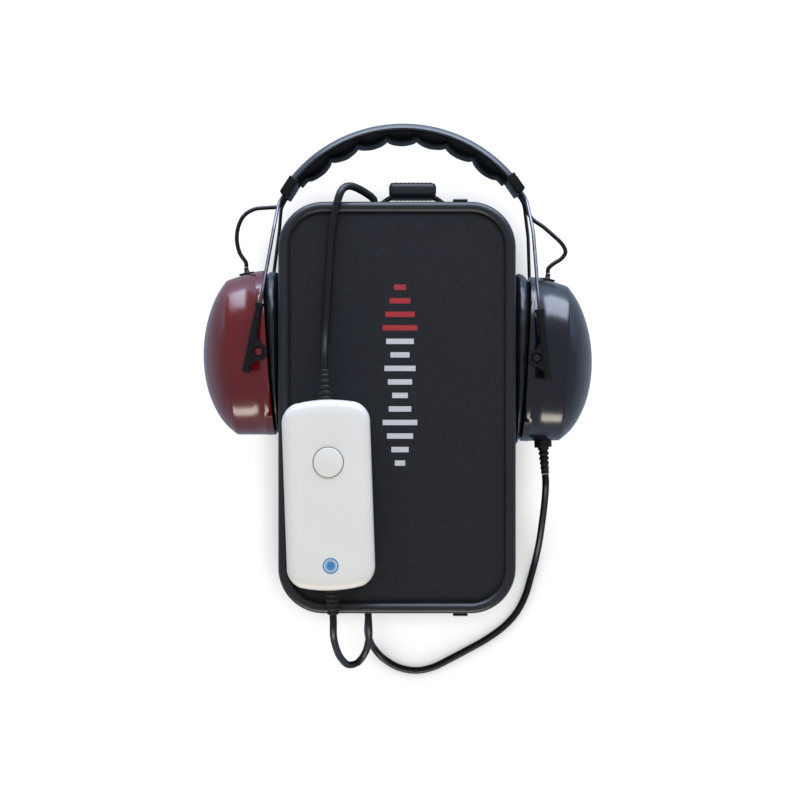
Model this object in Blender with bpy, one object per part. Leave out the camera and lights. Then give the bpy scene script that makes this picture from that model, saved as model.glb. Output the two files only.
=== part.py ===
"""A screening audiometer kit, laid out as one set: a soft zip case, a handheld unit with one response
button on its lid, a headset that grips the case, and their cords. Metres, +Z up, origin at the centre
of the case's underside. Run with blender --background --python part.py"""

import math

import bmesh
import bpy
from mathutils import Matrix, Vector

# Shared
gap = 0.0003                # between neighbouring pieces
overrun = 0.004             # how far a cutter runs past what it cuts
round_sides = 24            # sides of a turned piece
small_sides = 10            # sides of a small turned piece

# Case
case_width = 0.1514
case_length = 0.2624
case_corner = 0.029
case_wall = 0.004
case_floor = 0.0065
base_top = 0.085            # height of the base's rim
base_piping_radius = 0.0022
corner_steps = 5
zip_depth = 0.0024          # how far the zip tapes reach in from the outline
zip_lower_height = 0.0027
zip_upper_height = 0.0023
lid_piping_radius = 0.0035
lid_thickness = 0.0052      # of the panel at its edge
lid_crown = 0.0016          # how much higher the panel is in its middle
lid_crown_shares = ((0.32, 0.5), (0.62, 0.8), (0.88, 1.0))
hinge_tape_inset = 0.0362   # of the hinge tape's ends from the case's ends
hinge_tape_thickness = 0.0021
hinge_inset = 0.0007        # of the lid's hinge line from the outline
usb_notch_x = -0.0141
lead_notch_x = -0.0186
notch_width = 0.0084
usb_notch_depth = 0.0062    # below the base's rim
lead_notch_depth = 0.0118
slider_length = 0.0095
slider_height = 0.0062
slider_thickness = 0.003
slider_rest_x = 0.0405
pull_width = 0.0046
pull_length = 0.021
pull_thickness = 0.0014
pull_hole_radius = 0.0013
handle_x = 0.0101           # centre of the grip along the short wall
handle_z = 0.05
handle_reach = 0.0158       # how far the grip stands off the wall
grip_length = 0.0309
grip_thickness = 0.0078
grip_width = 0.027
strap_width = 0.022
strap_thickness = 0.0016
strap_run = 0.0065          # from the grip's end to the strap's sewn end
strap_foot = 0.006          # of a strap's sewn end
patch_thickness = 0.0012

# Handheld unit
unit_width = 0.0552
unit_length = 0.1194
unit_end_rise = 0.0044      # how far the ends are bowed out
unit_corner = 0.0095
unit_x = -0.043
unit_y = -0.0547
unit_turn = math.radians(2.04)
unit_lift = 0.0003          # above the lid's piping
unit_lower_height = 0.0098
unit_upper_height = 0.0147
unit_wall = 0.002
unit_foot_inset = 0.0035
unit_foot_height = 0.0033
unit_roof = 0.0034          # thickness of the top shell's roof at its middle
unit_edge_shares = ((0.0, 0.69), (0.125, 0.86), (0.375, 0.96), (1.0, 1.0))
unit_edge_inset = 0.012
panel_width = 0.0326
panel_thickness = 0.003
panel_rise = 0.0035         # of the end panels above the unit's underside
panel_top_drop = 0.0034     # of the end panels below the unit's top
board_side = 0.0066         # between the board and the unit's long side
board_clearance = 0.0023    # and between the board and a boss
board_thickness = 0.0016
board_height = 0.0068       # above the unit's underside
peg_radius = 0.002
peg_side = 0.005            # of a peg from the board's long side
peg_drop = 0.007            # and from its end
boss_radius = 0.0032
boss_side = 0.0081          # of a boss from the unit's long side
boss_drop = 0.0092          # and from its end
screw_radius = 0.0012
screw_head_radius = 0.0025
screw_head_height = 0.0016
screw_length = 0.0155
screw_sink = 0.0004
hole_clearance = 0.0003
button_radius = 0.0093
button_proud = 0.0015
button_dome = 0.0005
button_edge = 0.0007
button_flange_radius = 0.011
button_flange_height = 0.002
button_stem_radius = 0.002
button_clearance = 0.0004
button_travel = 0.0012
button_x = 0.0008
button_y = 0.0205
switch_side = 0.012
switch_height = 0.0042
plunger_radius = 0.00175
plunger_height = 0.0013
chip_side = 0.012
chip_height = 0.0014
chip_y = -0.012
relief_height = 0.0108      # of both strain reliefs above the unit's underside
usb_relief_length = 0.0188
usb_relief_radius = 0.0043
lead_relief_length = 0.0157
lead_relief_radius = 0.005
relief_neck_radius = 0.003
relief_flange_thickness = 0.0015
relief_ribs = 5
relief_groove_share = 0.8
relief_rise_share = 0.75
relief_tail_share = 0.5
relief_tip_share = 0.74

# Cords
usb_cord_diameter = 0.005
lead_diameter = 0.0046
cross_diameter = 0.0027
usb_length = 1.8
lead_length = 1.5
coil_points = 24
cord_spacing = 0.0105       # between the points of a cord's free stretch
usb_coil_turns = 8.25
usb_coil_radius = 0.0412    # of the outermost turn's middle
usb_coil_y = 0.062
lead_coil_turns = 5.75
lead_coil_radius = 0.031
lead_coil_y = -0.062
turn_step_share = 1.12      # of the cord's diameter, from turn to turn
layer_step_share = 1.1
tie_width = 0.012
tie_thickness = 0.0012
plug_body_length = 0.031
plug_body_width = 0.0158
plug_body_height = 0.0082
plug_shell_length = 0.0175
plug_shell_width = 0.0121
plug_shell_height = 0.0045
plug_shell_wall = 0.0005
plug_x = 0.0515
plug_y = 0.036

# Headset
headset_z = 0.0495          # of the headset's middle plane
band_x = 0.0039
band_drop = 0.0409          # of the band's centre from the case's end
band_reach = 0.0189         # of the band's outside beyond half the case's width
band_width = 0.039
band_end = math.radians(41.5)
band_middle = math.radians(90.5)
cover_thickness = 0.0024
cover_lip = 0.0019
cover_depth = 0.0047
cover_round = 0.0014
band_steps = 24
band_wire_radius = 0.0009
band_spring_width = 0.022
band_spring_thickness = 0.0012
pad_valley = 0.0036         # of the band's pad below the cover, at a valley
pad_lobe = 0.0072           # and at the middle of a lobe
pad_inset = 0.0006
lobe_angle = math.radians(13.1)
lobe_steps = 5
clip_length = 0.0135
clip_thickness = 0.0065
clip_width = 0.041
clip_gap = 0.0007
clip_bevel = 0.0008
slot_width = 0.0044
slot_depth = 0.004
wire_radius = 0.00115
wire_sides = 6
wire_spread_clip = 0.015
wire_spread_bend = 0.028
sleeve_height = 0.0463      # of the sleeves from the headset's middle plane
wire_lead_in = 0.0048
wire_bend_radius = 0.0042
sleeve_radius = 0.0024
sleeve_collar_radius = 0.0031
sleeve_collar_height = 0.002
sleeve_length = 0.0452
sleeve_bore_radius = 0.0015
sleeve_end_wall = 0.005
wire_end_gap = 0.0085
lobe_radius = 0.0057
lobe_thickness = 0.0032
lobe_run = 0.0115           # half the length of the lobe's foot on its sleeve
pivot_along = 0.0306        # of the cup's pins from the sleeve's top
pivot_offset = 0.0054
pin_radius = 0.0028
pin_hole_radius = 0.0032
pin_reach = 0.0036
cup_height = 0.108
cup_breadth = 0.087
cup_depth = 0.0442
cup_wall = 0.0022
cup_power = 2.35            # of the oval's superellipse
cup_points = 24
cup_sag = 0.005             # how far the dome's crown lies below the cup's middle
cup_depth_shares = (0.0, 0.25, 0.41, 0.54, 0.66, 0.77, 0.86, 0.94, 0.985)
cup_size_shares = (1.0, 1.0, 0.975, 0.917, 0.824, 0.685, 0.537, 0.36, 0.17)
cup_inner_picks = (0, 1, 3, 5, 7)
pivot_depth = 0.0051        # of the pins from the cup's mouth
baffle_thickness = 0.0025
baffle_hole_radius = 0.014
receiver_radius = 0.018
receiver_depth = 0.013
cushion_inset = 0.0012
cushion_width = 0.019
cushion_round = 0.005
cushion_rings = ((0.0, 0.6), (0.35, 0.0), (0.72, 0.1), (1.0, 1.0))
grommet_depth = 0.012
grommet_radius = 0.0053
grommet_height = 0.0026
cup_relief_depth = 0.015    # of the blue cup's strain relief from its mouth
cup_relief_lean_share = 0.13
cup_relief_length = 0.0205
cup_relief_radius = 0.0036
cup_relief_collar_radius = 0.0057
cup_relief_collar_height = 0.003
cord_hole_radius = 0.0022

# The headset grips the case. Its places are outwards and up from the side and end of the case, the clip from the band.
sides = {
    "red": {
        "out": -1.0, "pivot": (0.0125, -0.0956), "tilt": math.radians(4.0), "wire": math.radians(11.8),
        "clip": (0.00015, -0.0005), "clip_turn": math.radians(32.3), "bend": (0.0033, -0.0132),
        "cross": ((0.0018, 0.0010), (0.0098, 0.0000), (0.0183, -0.0010), (0.0248, -0.0050), (0.0286, -0.0121),
                  (0.0297, -0.0207), (0.0278, -0.0297)),
    },
    "blue": {
        "out": 1.0, "pivot": (0.0133, -0.0997), "tilt": math.radians(3.2), "wire": math.radians(6.7),
        "clip": (-0.0001, 0.0002), "clip_turn": math.radians(34.9), "bend": (0.0121, -0.0175),
        "cross": ((0.0088, 0.0003), (0.0131, -0.0073), (0.0201, -0.0123), (0.0272, -0.0184), (0.0328, -0.0239),
                  (0.0351, -0.0292), (0.0321, -0.0337), (0.0273, -0.0367)),
    },
}

hinge_tape_length = case_length - 2 * hinge_tape_inset
band_y = case_length / 2 - band_drop
band_radius = case_width / 2 + band_reach
boss_x = unit_width / 2 - boss_side
boss_y = unit_length / 2 - boss_drop
board_width = unit_width - 2 * board_side
board_length = 2 * (boss_y - boss_radius - board_clearance)
peg_x = board_width / 2 - peg_side
peg_y = board_length / 2 - peg_drop
case_top = base_top + gap + zip_lower_height + gap + zip_upper_height + gap
piping_z = case_top + lid_piping_radius
unit_bottom = piping_z + lid_piping_radius + unit_lift
unit_split = unit_bottom + unit_lower_height
unit_top = unit_split + gap + unit_upper_height
hinge_x = case_width / 2 - hinge_inset
hinge_z = case_top - gap / 2
relief_z = unit_bottom + relief_height


def clear_scene():
    for obj in list(bpy.data.objects):
        bpy.data.objects.remove(obj, do_unlink=True)


def finish(name, colour, roughness, metallic=0.0):
    """A Principled material."""
    made = bpy.data.materials.get(name) or bpy.data.materials.new(name)
    made.use_nodes = True
    shader = made.node_tree.nodes["Principled BSDF"]
    shader.inputs["Base Color"].default_value = (*colour, 1.0)
    shader.inputs["Roughness"].default_value = roughness
    shader.inputs["Metallic"].default_value = metallic
    return made


def finishes():
    return {
        "fabric": finish("black_woven_fabric", (0.012, 0.012, 0.014), 0.9),
        "piping": finish("black_piping", (0.01, 0.01, 0.012), 0.5),
        "white": finish("white_plastic", (0.82, 0.82, 0.78), 0.4),
        "black": finish("black_plastic", (0.012, 0.012, 0.014), 0.45),
        "rubber": finish("black_rubber", (0.01, 0.01, 0.01), 0.6),
        "red": finish("red_plastic", (0.33, 0.008, 0.02), 0.35),
        "blue": finish("blue_plastic", (0.008, 0.01, 0.06), 0.35),
        "pad": finish("black_leatherette", (0.012, 0.014, 0.02), 0.5),
        "steel": finish("bright_steel", (0.65, 0.65, 0.67), 0.25, 1.0),
        "board": finish("green_board", (0.01, 0.12, 0.04), 0.5),
    }


def pivot(name, place, parent=None):
    """An empty on a joint's axis, which carries the pieces that move about it."""
    made = bpy.data.objects.new(name, None)
    bpy.context.scene.collection.objects.link(made)
    made.location = place
    bpy.context.view_layer.update()
    if parent:
        hang(made, parent)
    return made


def hang(obj, parent):
    """Parents an object and leaves it where it stands."""
    obj.parent = parent
    obj.matrix_parent_inverse = parent.matrix_world.inverted()
    bpy.context.view_layer.update()


def add_piece(name, bm, material, parent, smooth=True):
    bmesh.ops.remove_doubles(bm, verts=bm.verts, dist=gap / 100)
    bmesh.ops.recalc_face_normals(bm, faces=bm.faces)
    mesh = bpy.data.meshes.new(name)
    bm.to_mesh(mesh)
    bm.free()
    if smooth:
        mesh.shade_smooth()
        mesh.set_sharp_from_angle(angle=math.radians(35))
    if material:
        mesh.materials.append(material)
    obj = bpy.data.objects.new(name, mesh)
    bpy.context.scene.collection.objects.link(obj)
    if parent:
        hang(obj, parent)
    return obj


def loft(bm, rings, closed=False):
    """Joins rings of equal count with faces. The two end rings are capped, or joined when closed."""
    loops = [[bm.verts.new(point) for point in ring] for ring in rings]
    pairs = list(zip(loops, loops[1:]))
    if closed:
        pairs.append((loops[-1], loops[0]))
    for low, high in pairs:
        for here in range(len(low)):
            there = (here + 1) % len(low)
            bm.faces.new((low[here], low[there], high[there], high[here]))
    if not closed:
        bm.faces.new(loops[0])
        bm.faces.new(loops[-1])


def prism(bm, outline, low, high):
    loft(bm, [[(x, y, z) for x, y in outline] for z in (low, high)])


def box(bm, low, high):
    prism(bm, [(low[0], low[1]), (high[0], low[1]), (high[0], high[1]), (low[0], high[1])], low[2], high[2])


def turned(bm, profile, place, axis, steps):
    """Turns (radius, distance along the axis) pairs about an axis. Radius 0 starts and ends it."""
    rings = []
    turn = Vector(axis).to_track_quat("Z", "Y").to_matrix()
    for radius, along in profile:
        ring = []
        for n in range(steps):
            angle = 2 * math.pi * n / steps
            ring.append(Vector(place) + turn @ Vector((radius * math.cos(angle), radius * math.sin(angle), along)))
        rings.append(ring)
    loft(bm, rings)


def rod(bm, start, end, radius, steps=small_sides):
    start, end = Vector(start), Vector(end)
    turned(bm, [(radius, 0.0), (radius, (end - start).length)], start, end - start, steps)


def helper(bm):
    """A hidden solid for a Boolean."""
    made = add_piece("helper", bm, None, None, smooth=False)
    made.hide_render = True
    made.display_type = "WIRE"
    return made


def combine(obj, operation, *shapes):
    """Adds one Boolean for each shape, a function that draws a solid in a new bmesh."""
    for draw in shapes:
        bm = bmesh.new()
        draw(bm)
        modifier = obj.modifiers.new(operation.lower(), "BOOLEAN")
        modifier.operation = operation
        modifier.solver = "EXACT"
        modifier.object = helper(bm)


def rounded_rectangle(half_x, half_y, radius, steps=corner_steps):
    """Corner by corner, anticlockwise from the right side's upper end."""
    points = []
    for quarter, (sign_x, sign_y) in enumerate(((1, 1), (-1, 1), (-1, -1), (1, -1))):
        for n in range(steps + 1):
            angle = math.pi / 2 * (quarter + n / steps)
            points.append((
                sign_x * (half_x - radius) + radius * math.cos(angle),
                sign_y * (half_y - radius) + radius * math.sin(angle),
            ))
    return points


def case_ring(inset):
    radius = max(case_corner - inset, case_wall)
    return rounded_rectangle(case_width / 2 - inset, case_length / 2 - inset, radius)


def level(outline, z):
    return [(x, y, z) for x, y in outline]


def closed_tube(name, outline, z, radius, material, parent, resolution):
    return tube(name, level(outline, z), radius, material, parent, resolution, cyclic=True)


def tube(name, points, radius, material, parent, resolution=2, cyclic=False):
    curve = bpy.data.curves.new(name, "CURVE")
    curve.dimensions = "3D"
    curve.bevel_depth = radius
    curve.bevel_resolution = resolution
    curve.use_fill_caps = not cyclic
    spline = curve.splines.new("POLY")
    spline.points.add(len(points) - 1)
    spline.use_cyclic_u = cyclic
    for point, place in zip(spline.points, points):
        point.co = (*place, 1.0)
    curve.materials.append(material)
    obj = bpy.data.objects.new(name, curve)
    bpy.context.scene.collection.objects.link(obj)
    hang(obj, parent)
    return obj


def between(a, b, low, high, t):
    return ((high - t) * a + (t - low) * b) / (high - low)


def smooth_route(points, spacing):
    """Points about one spacing apart on a smooth curve through the route's own points."""
    route = [Vector(point) for point in points]
    route = [2 * route[0] - route[1]] + route + [2 * route[-1] - route[-2]]
    made = []
    for a, b, c, d in zip(route, route[1:], route[2:], route[3:]):
        t1 = math.sqrt((b - a).length)
        t2 = t1 + math.sqrt((c - b).length)
        t3 = t2 + math.sqrt((d - c).length)
        count = max(1, round((c - b).length / spacing))
        for n in range(count):
            t = t1 + (t2 - t1) * n / count
            ab, bc, cd = between(a, b, 0.0, t1, t), between(b, c, t1, t2, t), between(c, d, t2, t3, t)
            made.append(between(between(ab, bc, 0.0, t2, t), between(bc, cd, t1, t3, t), t1, t2, t))
    made.append(route[-2])
    return made


def length_of(points):
    return sum((Vector(q) - Vector(p)).length for p, q in zip(points, points[1:]))


def filleted(points, radius, steps=4):
    """A path of straight runs with an arc of about one radius at each bend."""
    points = [Vector(point) for point in points]
    path = [points[0]]
    for before, corner, after in zip(points, points[1:], points[2:]):
        to, away = (before - corner), (after - corner)
        reach = min(radius, to.length / 3, away.length / 3)
        start, end = corner + to.normalized() * reach, corner + away.normalized() * reach
        for n in range(steps + 1):
            t = n / steps
            path.append((1 - t) ** 2 * start + 2 * t * (1 - t) * corner + t**2 * end)
    return path + [points[-1]]


def coil(centre, outer, diameter, turns, start, direction):
    """A coil's middle line: it spirals in along its lower layer and out again along its upper one."""
    count = round(turns * coil_points)
    half = count / 2
    climb = coil_points / 2
    points = []
    for n in range(count + 1):
        inward = min(n, count - n) / coil_points
        radius = outer - diameter * turn_step_share * inward
        rise = min(max((n - half + climb / 2) / climb, 0.0), 1.0)
        angle = start + direction * 2 * math.pi * n / coil_points
        points.append(Vector((
            centre[0] + radius * math.cos(angle),
            centre[1] + radius * math.sin(angle),
            centre[2] + rise * diameter * layer_step_share,
        )))
    return points


def least_gap(points, diameter):
    """The least clearance between turns of a coil that aren't neighbours along it."""
    apart = coil_points // 2
    nearest = min(
        (q - p).length for n, p in enumerate(points) for q in points[n + apart:]
    )
    return nearest - diameter


def make_base(look, case):
    bm = bmesh.new()
    rebate = 2 * base_piping_radius - gap / 2
    half_rebate = rebate + 2 * gap
    loft(bm, [
        level(case_ring(rebate), 0.0),
        level(case_ring(rebate), half_rebate),
        level(case_ring(0.0), half_rebate),
        level(case_ring(0.0), base_top),
        level(case_ring(case_wall), base_top),
        level(case_ring(case_wall), case_floor),
    ])
    base = add_piece("case_base_shell", bm, look["fabric"], case)
    combine(base, "DIFFERENCE", usb_notch, lead_notch)
    inset = rebate - gap - base_piping_radius
    closed_tube("case_base_piping", case_ring(inset), base_piping_radius + gap, base_piping_radius,
                look["piping"], case, 1)


def usb_notch(bm):
    box(bm, (usb_notch_x - notch_width / 2, case_length / 2 - case_wall - overrun, base_top - usb_notch_depth),
        (usb_notch_x + notch_width / 2, case_length / 2 + overrun, base_top + gap))


def lead_notch(bm):
    box(bm, (lead_notch_x - notch_width / 2, -case_length / 2 - overrun, base_top - lead_notch_depth),
        (lead_notch_x + notch_width / 2, -case_length / 2 + case_wall + overrun, base_top + gap))


def zip_outline():
    """Three sides of the case: the fourth holds the lid's hinge tape."""
    end = hinge_tape_length / 2 + gap
    half = case_width / 2
    outer = [(half, end)] + case_ring(0.0) + [(half, -end)]
    inner = [(half - zip_depth, end)] + case_ring(zip_depth) + [(half - zip_depth, -end)]
    return outer + inner[::-1]


def make_zip(look, case, lid):
    low = base_top + gap
    bm = bmesh.new()
    prism(bm, zip_outline(), low, low + zip_lower_height)
    add_piece("zip_tape_lower", bm, look["black"], case)
    low = case_top - gap - zip_upper_height
    bm = bmesh.new()
    prism(bm, zip_outline(), low, low + zip_upper_height)
    add_piece("zip_tape_upper", bm, look["black"], lid)
    bm = bmesh.new()
    half = case_width / 2
    inner = half - zip_depth
    box(bm, (inner, -hinge_tape_length / 2, base_top + gap),
        (inner + hinge_tape_thickness, hinge_tape_length / 2, case_top - gap))
    add_piece("case_hinge_tape", bm, look["fabric"], case)


def make_lid(look, lid):
    inset = 2 * lid_piping_radius + gap
    top = case_top + lid_thickness
    rings = [level(case_ring(inset), case_top), level(case_ring(inset), top)]
    for in_share, up_share in lid_crown_shares:
        step = inset + in_share * (case_width / 2 - inset)
        rings.append(level(case_ring(step), top + up_share * lid_crown))
    bm = bmesh.new()
    loft(bm, rings)
    add_piece("case_lid_panel", bm, look["fabric"], lid)
    closed_tube("case_lid_piping", case_ring(lid_piping_radius), piping_z, lid_piping_radius,
                look["piping"], lid, 2)


def make_sliders(look, case):
    """Two sliders, parked at the hinge ends of the open zip, each with a pull that hangs from it."""
    for name, side in (("top", 1.0), ("bottom", -1.0)):
        wall = side * (case_length / 2 + gap)
        middle = base_top + gap + zip_lower_height
        low = middle - slider_height / 2
        body = pivot(f"zip_{name}", (slider_rest_x, wall, low), case)
        bm = bmesh.new()
        near, far = sorted((wall, wall + side * slider_thickness))
        box(bm, (slider_rest_x - slider_length / 2, near, low),
            (slider_rest_x + slider_length / 2, far, low + slider_height))
        bmesh.ops.bevel(bm, geom=[e for e in bm.edges if abs(e.verts[0].co.z - e.verts[1].co.z) > gap],
                        offset=slider_thickness / 3, segments=2, profile=0.5, affect="EDGES", material=-1)
        add_piece(f"zip_slider_{name}", bm, look["steel"], body)
        swing = pivot(f"pull_{name}", (slider_rest_x, wall + side * pull_thickness / 2, low - gap - pull_thickness / 2),
                      body)
        bm = bmesh.new()
        near, far = sorted((wall, wall + side * pull_thickness))
        box(bm, (slider_rest_x - pull_width / 2, near, low - gap - pull_length),
            (slider_rest_x + pull_width / 2, far, low - gap - pull_thickness / 2))
        pull = add_piece(f"zip_pull_{name}", bm, look["steel"], swing)
        hole_z = low - gap - pull_length + pull_width / 2
        combine(pull, "DIFFERENCE", lambda bm, wall=wall, hole_z=hole_z: rod(
            bm, (slider_rest_x, wall - overrun, hole_z), (slider_rest_x, wall + overrun, hole_z), pull_hole_radius))


def make_handle(look, case):
    wall = case_length / 2 + gap
    outer = case_length / 2 + handle_reach
    bm = bmesh.new()
    box(bm, (handle_x - grip_length / 2, outer - grip_thickness, handle_z - grip_width / 2),
        (handle_x + grip_length / 2, outer, handle_z + grip_width / 2))
    bmesh.ops.bevel(bm, geom=bm.edges[:], offset=grip_thickness / 3, segments=3, profile=0.5,
                    affect="EDGES", material=-1)
    add_piece("handle_grip", bm, look["rubber"], case)
    low, high = handle_z - strap_width / 2, handle_z + strap_width / 2
    back = outer - grip_thickness - gap
    skin = wall + patch_thickness + gap
    foot = grip_length / 2 + strap_run
    outside = [
        (-foot - strap_foot, skin + strap_thickness), (-foot, skin + strap_thickness), (-grip_length / 2, back),
        (grip_length / 2, back), (foot, skin + strap_thickness), (foot + strap_foot, skin + strap_thickness),
    ]
    inside = [
        (foot + strap_foot, skin), (foot - strap_thickness / 2, skin),
        (grip_length / 2 - strap_thickness / 2, back - strap_thickness),
        (strap_thickness / 2 - grip_length / 2, back - strap_thickness),
        (strap_thickness / 2 - foot, skin), (-foot - strap_foot, skin),
    ]
    bm = bmesh.new()
    prism(bm, [(handle_x + x, y) for x, y in outside + inside], low, high)
    add_piece("handle_strap", bm, look["fabric"], case)
    reach = foot + strap_foot + strap_thickness
    bm = bmesh.new()
    box(bm, (handle_x - reach, wall, low - strap_thickness),
        (handle_x + reach, wall + patch_thickness, high + strap_thickness))
    add_piece("handle_patch", bm, look["fabric"], case)


def unit_matrix():
    return Matrix.Translation((unit_x, unit_y, 0.0)) @ Matrix.Rotation(unit_turn, 4, "Z")


def unit_outline(inset, steps=4):
    """A rectangle with rounded corners and ends that bow out."""
    half_x, half_y = unit_width / 2 - inset, unit_length / 2 - unit_end_rise - inset
    radius = max(unit_corner - inset, unit_wall)
    points = rounded_rectangle(half_x, half_y, radius, steps)
    made = []
    for x, y in points:
        bow = unit_end_rise * (1 - (x / (unit_width / 2)) ** 2)
        made.append((x, y + math.copysign(bow, y)))
    for end in (steps, len(points) // 2 + steps):
        a, b = points[end], points[end + 1]
        between = []
        for share in (0.25, 0.5, 0.75):
            x = a[0] + share * (b[0] - a[0])
            between.append((x, a[1] + math.copysign(unit_end_rise * (1 - (x / (unit_width / 2)) ** 2), a[1])))
        where = made.index(next(p for p in made if abs(p[0] - a[0]) < gap / 10 and p[1] * a[1] > 0)) + 1
        made[where:where] = between
    return made


def add_unit_piece(name, bm, material, parent):
    bmesh.ops.transform(bm, matrix=unit_matrix(), verts=bm.verts)
    return add_piece(name, bm, material, parent)


def in_unit(draw):
    """A drawing function whose solid is put in the unit's place."""
    def placed(bm):
        draw(bm)
        bmesh.ops.transform(bm, matrix=unit_matrix(), verts=bm.verts)
    return placed


def pegs(bm):
    """The pads that carry the circuit board."""
    for x in (-peg_x, peg_x):
        for y in (-peg_y, peg_y):
            rod(bm, (x, y, unit_bottom + unit_wall - gap), (x, y, unit_bottom + board_height - gap), peg_radius)


def bosses(bm, radius, low, high):
    """The two screw bosses, on one diagonal."""
    for side in (-1.0, 1.0):
        rod(bm, (side * boss_x, side * boss_y, low), (side * boss_x, side * boss_y, high), radius)


def panel_slots(bm):
    for side in (-1.0, 1.0):
        near = side * (unit_length / 2 - panel_thickness - gap)
        far = side * (unit_length / 2 + overrun)
        box(bm, (-panel_width / 2 - gap, min(near, far), unit_bottom + panel_rise - gap),
            (panel_width / 2 + gap, max(near, far), unit_top - panel_top_drop + gap))


def make_unit_shells(look, unit):
    rings = [
        level(unit_outline(unit_foot_inset), unit_bottom),
        level(unit_outline(unit_foot_inset / 4), unit_bottom + unit_foot_height / 3),
        level(unit_outline(0.0), unit_bottom + unit_foot_height),
        level(unit_outline(0.0), unit_split),
        level(unit_outline(unit_wall), unit_split),
        level(unit_outline(unit_wall), unit_bottom + unit_foot_height),
        level(unit_outline(unit_foot_inset + unit_wall / 2), unit_bottom + unit_wall),
    ]
    bm = bmesh.new()
    loft(bm, rings)
    lower = add_unit_piece("unit_bottom_shell", bm, look["white"], unit)
    head = unit_bottom + screw_sink + screw_head_height
    combine(
        lower, "UNION",
        in_unit(pegs),
        in_unit(lambda bm: bosses(bm, boss_radius, unit_bottom + unit_wall - gap, unit_split - gap)),
    )
    combine(
        lower, "DIFFERENCE",
        in_unit(lambda bm: bosses(bm, screw_radius + hole_clearance, unit_bottom - overrun, unit_split + overrun)),
        in_unit(lambda bm: bosses(bm, screw_head_radius + hole_clearance, unit_bottom - overrun, head + gap)),
        in_unit(panel_slots),
    )
    low = unit_split + gap
    rings = [
        level(unit_outline(unit_wall + unit_edge_inset / 4), unit_top - unit_roof),
        level(unit_outline(unit_wall), low + unit_upper_height / 2),
        level(unit_outline(unit_wall), low),
    ]
    for in_share, up_share in ((0.0, 0.0),) + unit_edge_shares:
        rings.append(level(unit_outline(in_share * unit_edge_inset), low + up_share * unit_upper_height))
    bm = bmesh.new()
    loft(bm, rings)
    upper = add_unit_piece("unit_top_shell", bm, look["white"], unit)
    combine(upper, "UNION", in_unit(lambda bm: bosses(bm, boss_radius, low + gap, unit_top - unit_roof + gap)))
    combine(
        upper, "DIFFERENCE",
        in_unit(lambda bm: bosses(bm, screw_radius + hole_clearance, low - overrun,
                                  unit_bottom + screw_sink + screw_length + hole_clearance)),
        in_unit(panel_slots),
        in_unit(lambda bm: rod(bm, (button_x, button_y, low), (button_x, button_y, unit_top + overrun),
                               button_radius + button_clearance, round_sides)),
    )


def make_end_panels(look, unit):
    for name, side, radius in (("top", 1.0, relief_neck_radius), ("bottom", -1.0, relief_neck_radius)):
        bm = bmesh.new()
        near, far = side * (unit_length / 2 - panel_thickness), side * unit_length / 2
        box(bm, (-panel_width / 2, min(near, far), unit_bottom + panel_rise),
            (panel_width / 2, max(near, far), unit_top - panel_top_drop))
        panel = add_unit_piece(f"unit_end_panel_{name}", bm, look["white"], unit)
        combine(panel, "DIFFERENCE", in_unit(lambda bm, side=side, radius=radius: rod(
            bm, (0.0, side * unit_length / 3, relief_z), (0.0, side * (unit_length / 2 + overrun), relief_z),
            radius + hole_clearance)))


def relief_profile(radius, length, tip):
    """Ribs that narrow towards the cord, as (radius, distance) pairs from the housing."""
    made = []
    pitch = length / (relief_ribs + relief_tail_share)
    for n in range(relief_ribs):
        share = n / relief_ribs
        rib = radius * (1 - share) + tip * share
        made += [(rib, n * pitch), (max(rib * relief_groove_share, tip), (n + relief_rise_share) * pitch)]
    return made + [(tip, length)]


def make_unit_reliefs(look, unit):
    for name, side, radius, length, cord in (
        ("usb_strain_relief", 1.0, usb_relief_radius, usb_relief_length, usb_cord_diameter),
        ("lead_strain_relief", -1.0, lead_relief_radius, lead_relief_length, lead_diameter),
    ):
        start = unit_length / 2 - panel_thickness - gap - relief_flange_thickness
        skin = panel_thickness + 2 * gap + relief_flange_thickness
        tip = max(radius * relief_tip_share, cord / 2 + gap)
        profile = [(radius, 0.0), (radius, relief_flange_thickness), (relief_neck_radius, relief_flange_thickness),
                   (relief_neck_radius, skin)]
        profile += [(r, skin + along) for r, along in relief_profile(radius, length, tip)]
        bm = bmesh.new()
        turned(bm, profile, (0.0, side * start, relief_z), (0.0, side, 0.0), small_sides)
        add_unit_piece(name, bm, look["rubber"], unit)


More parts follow.
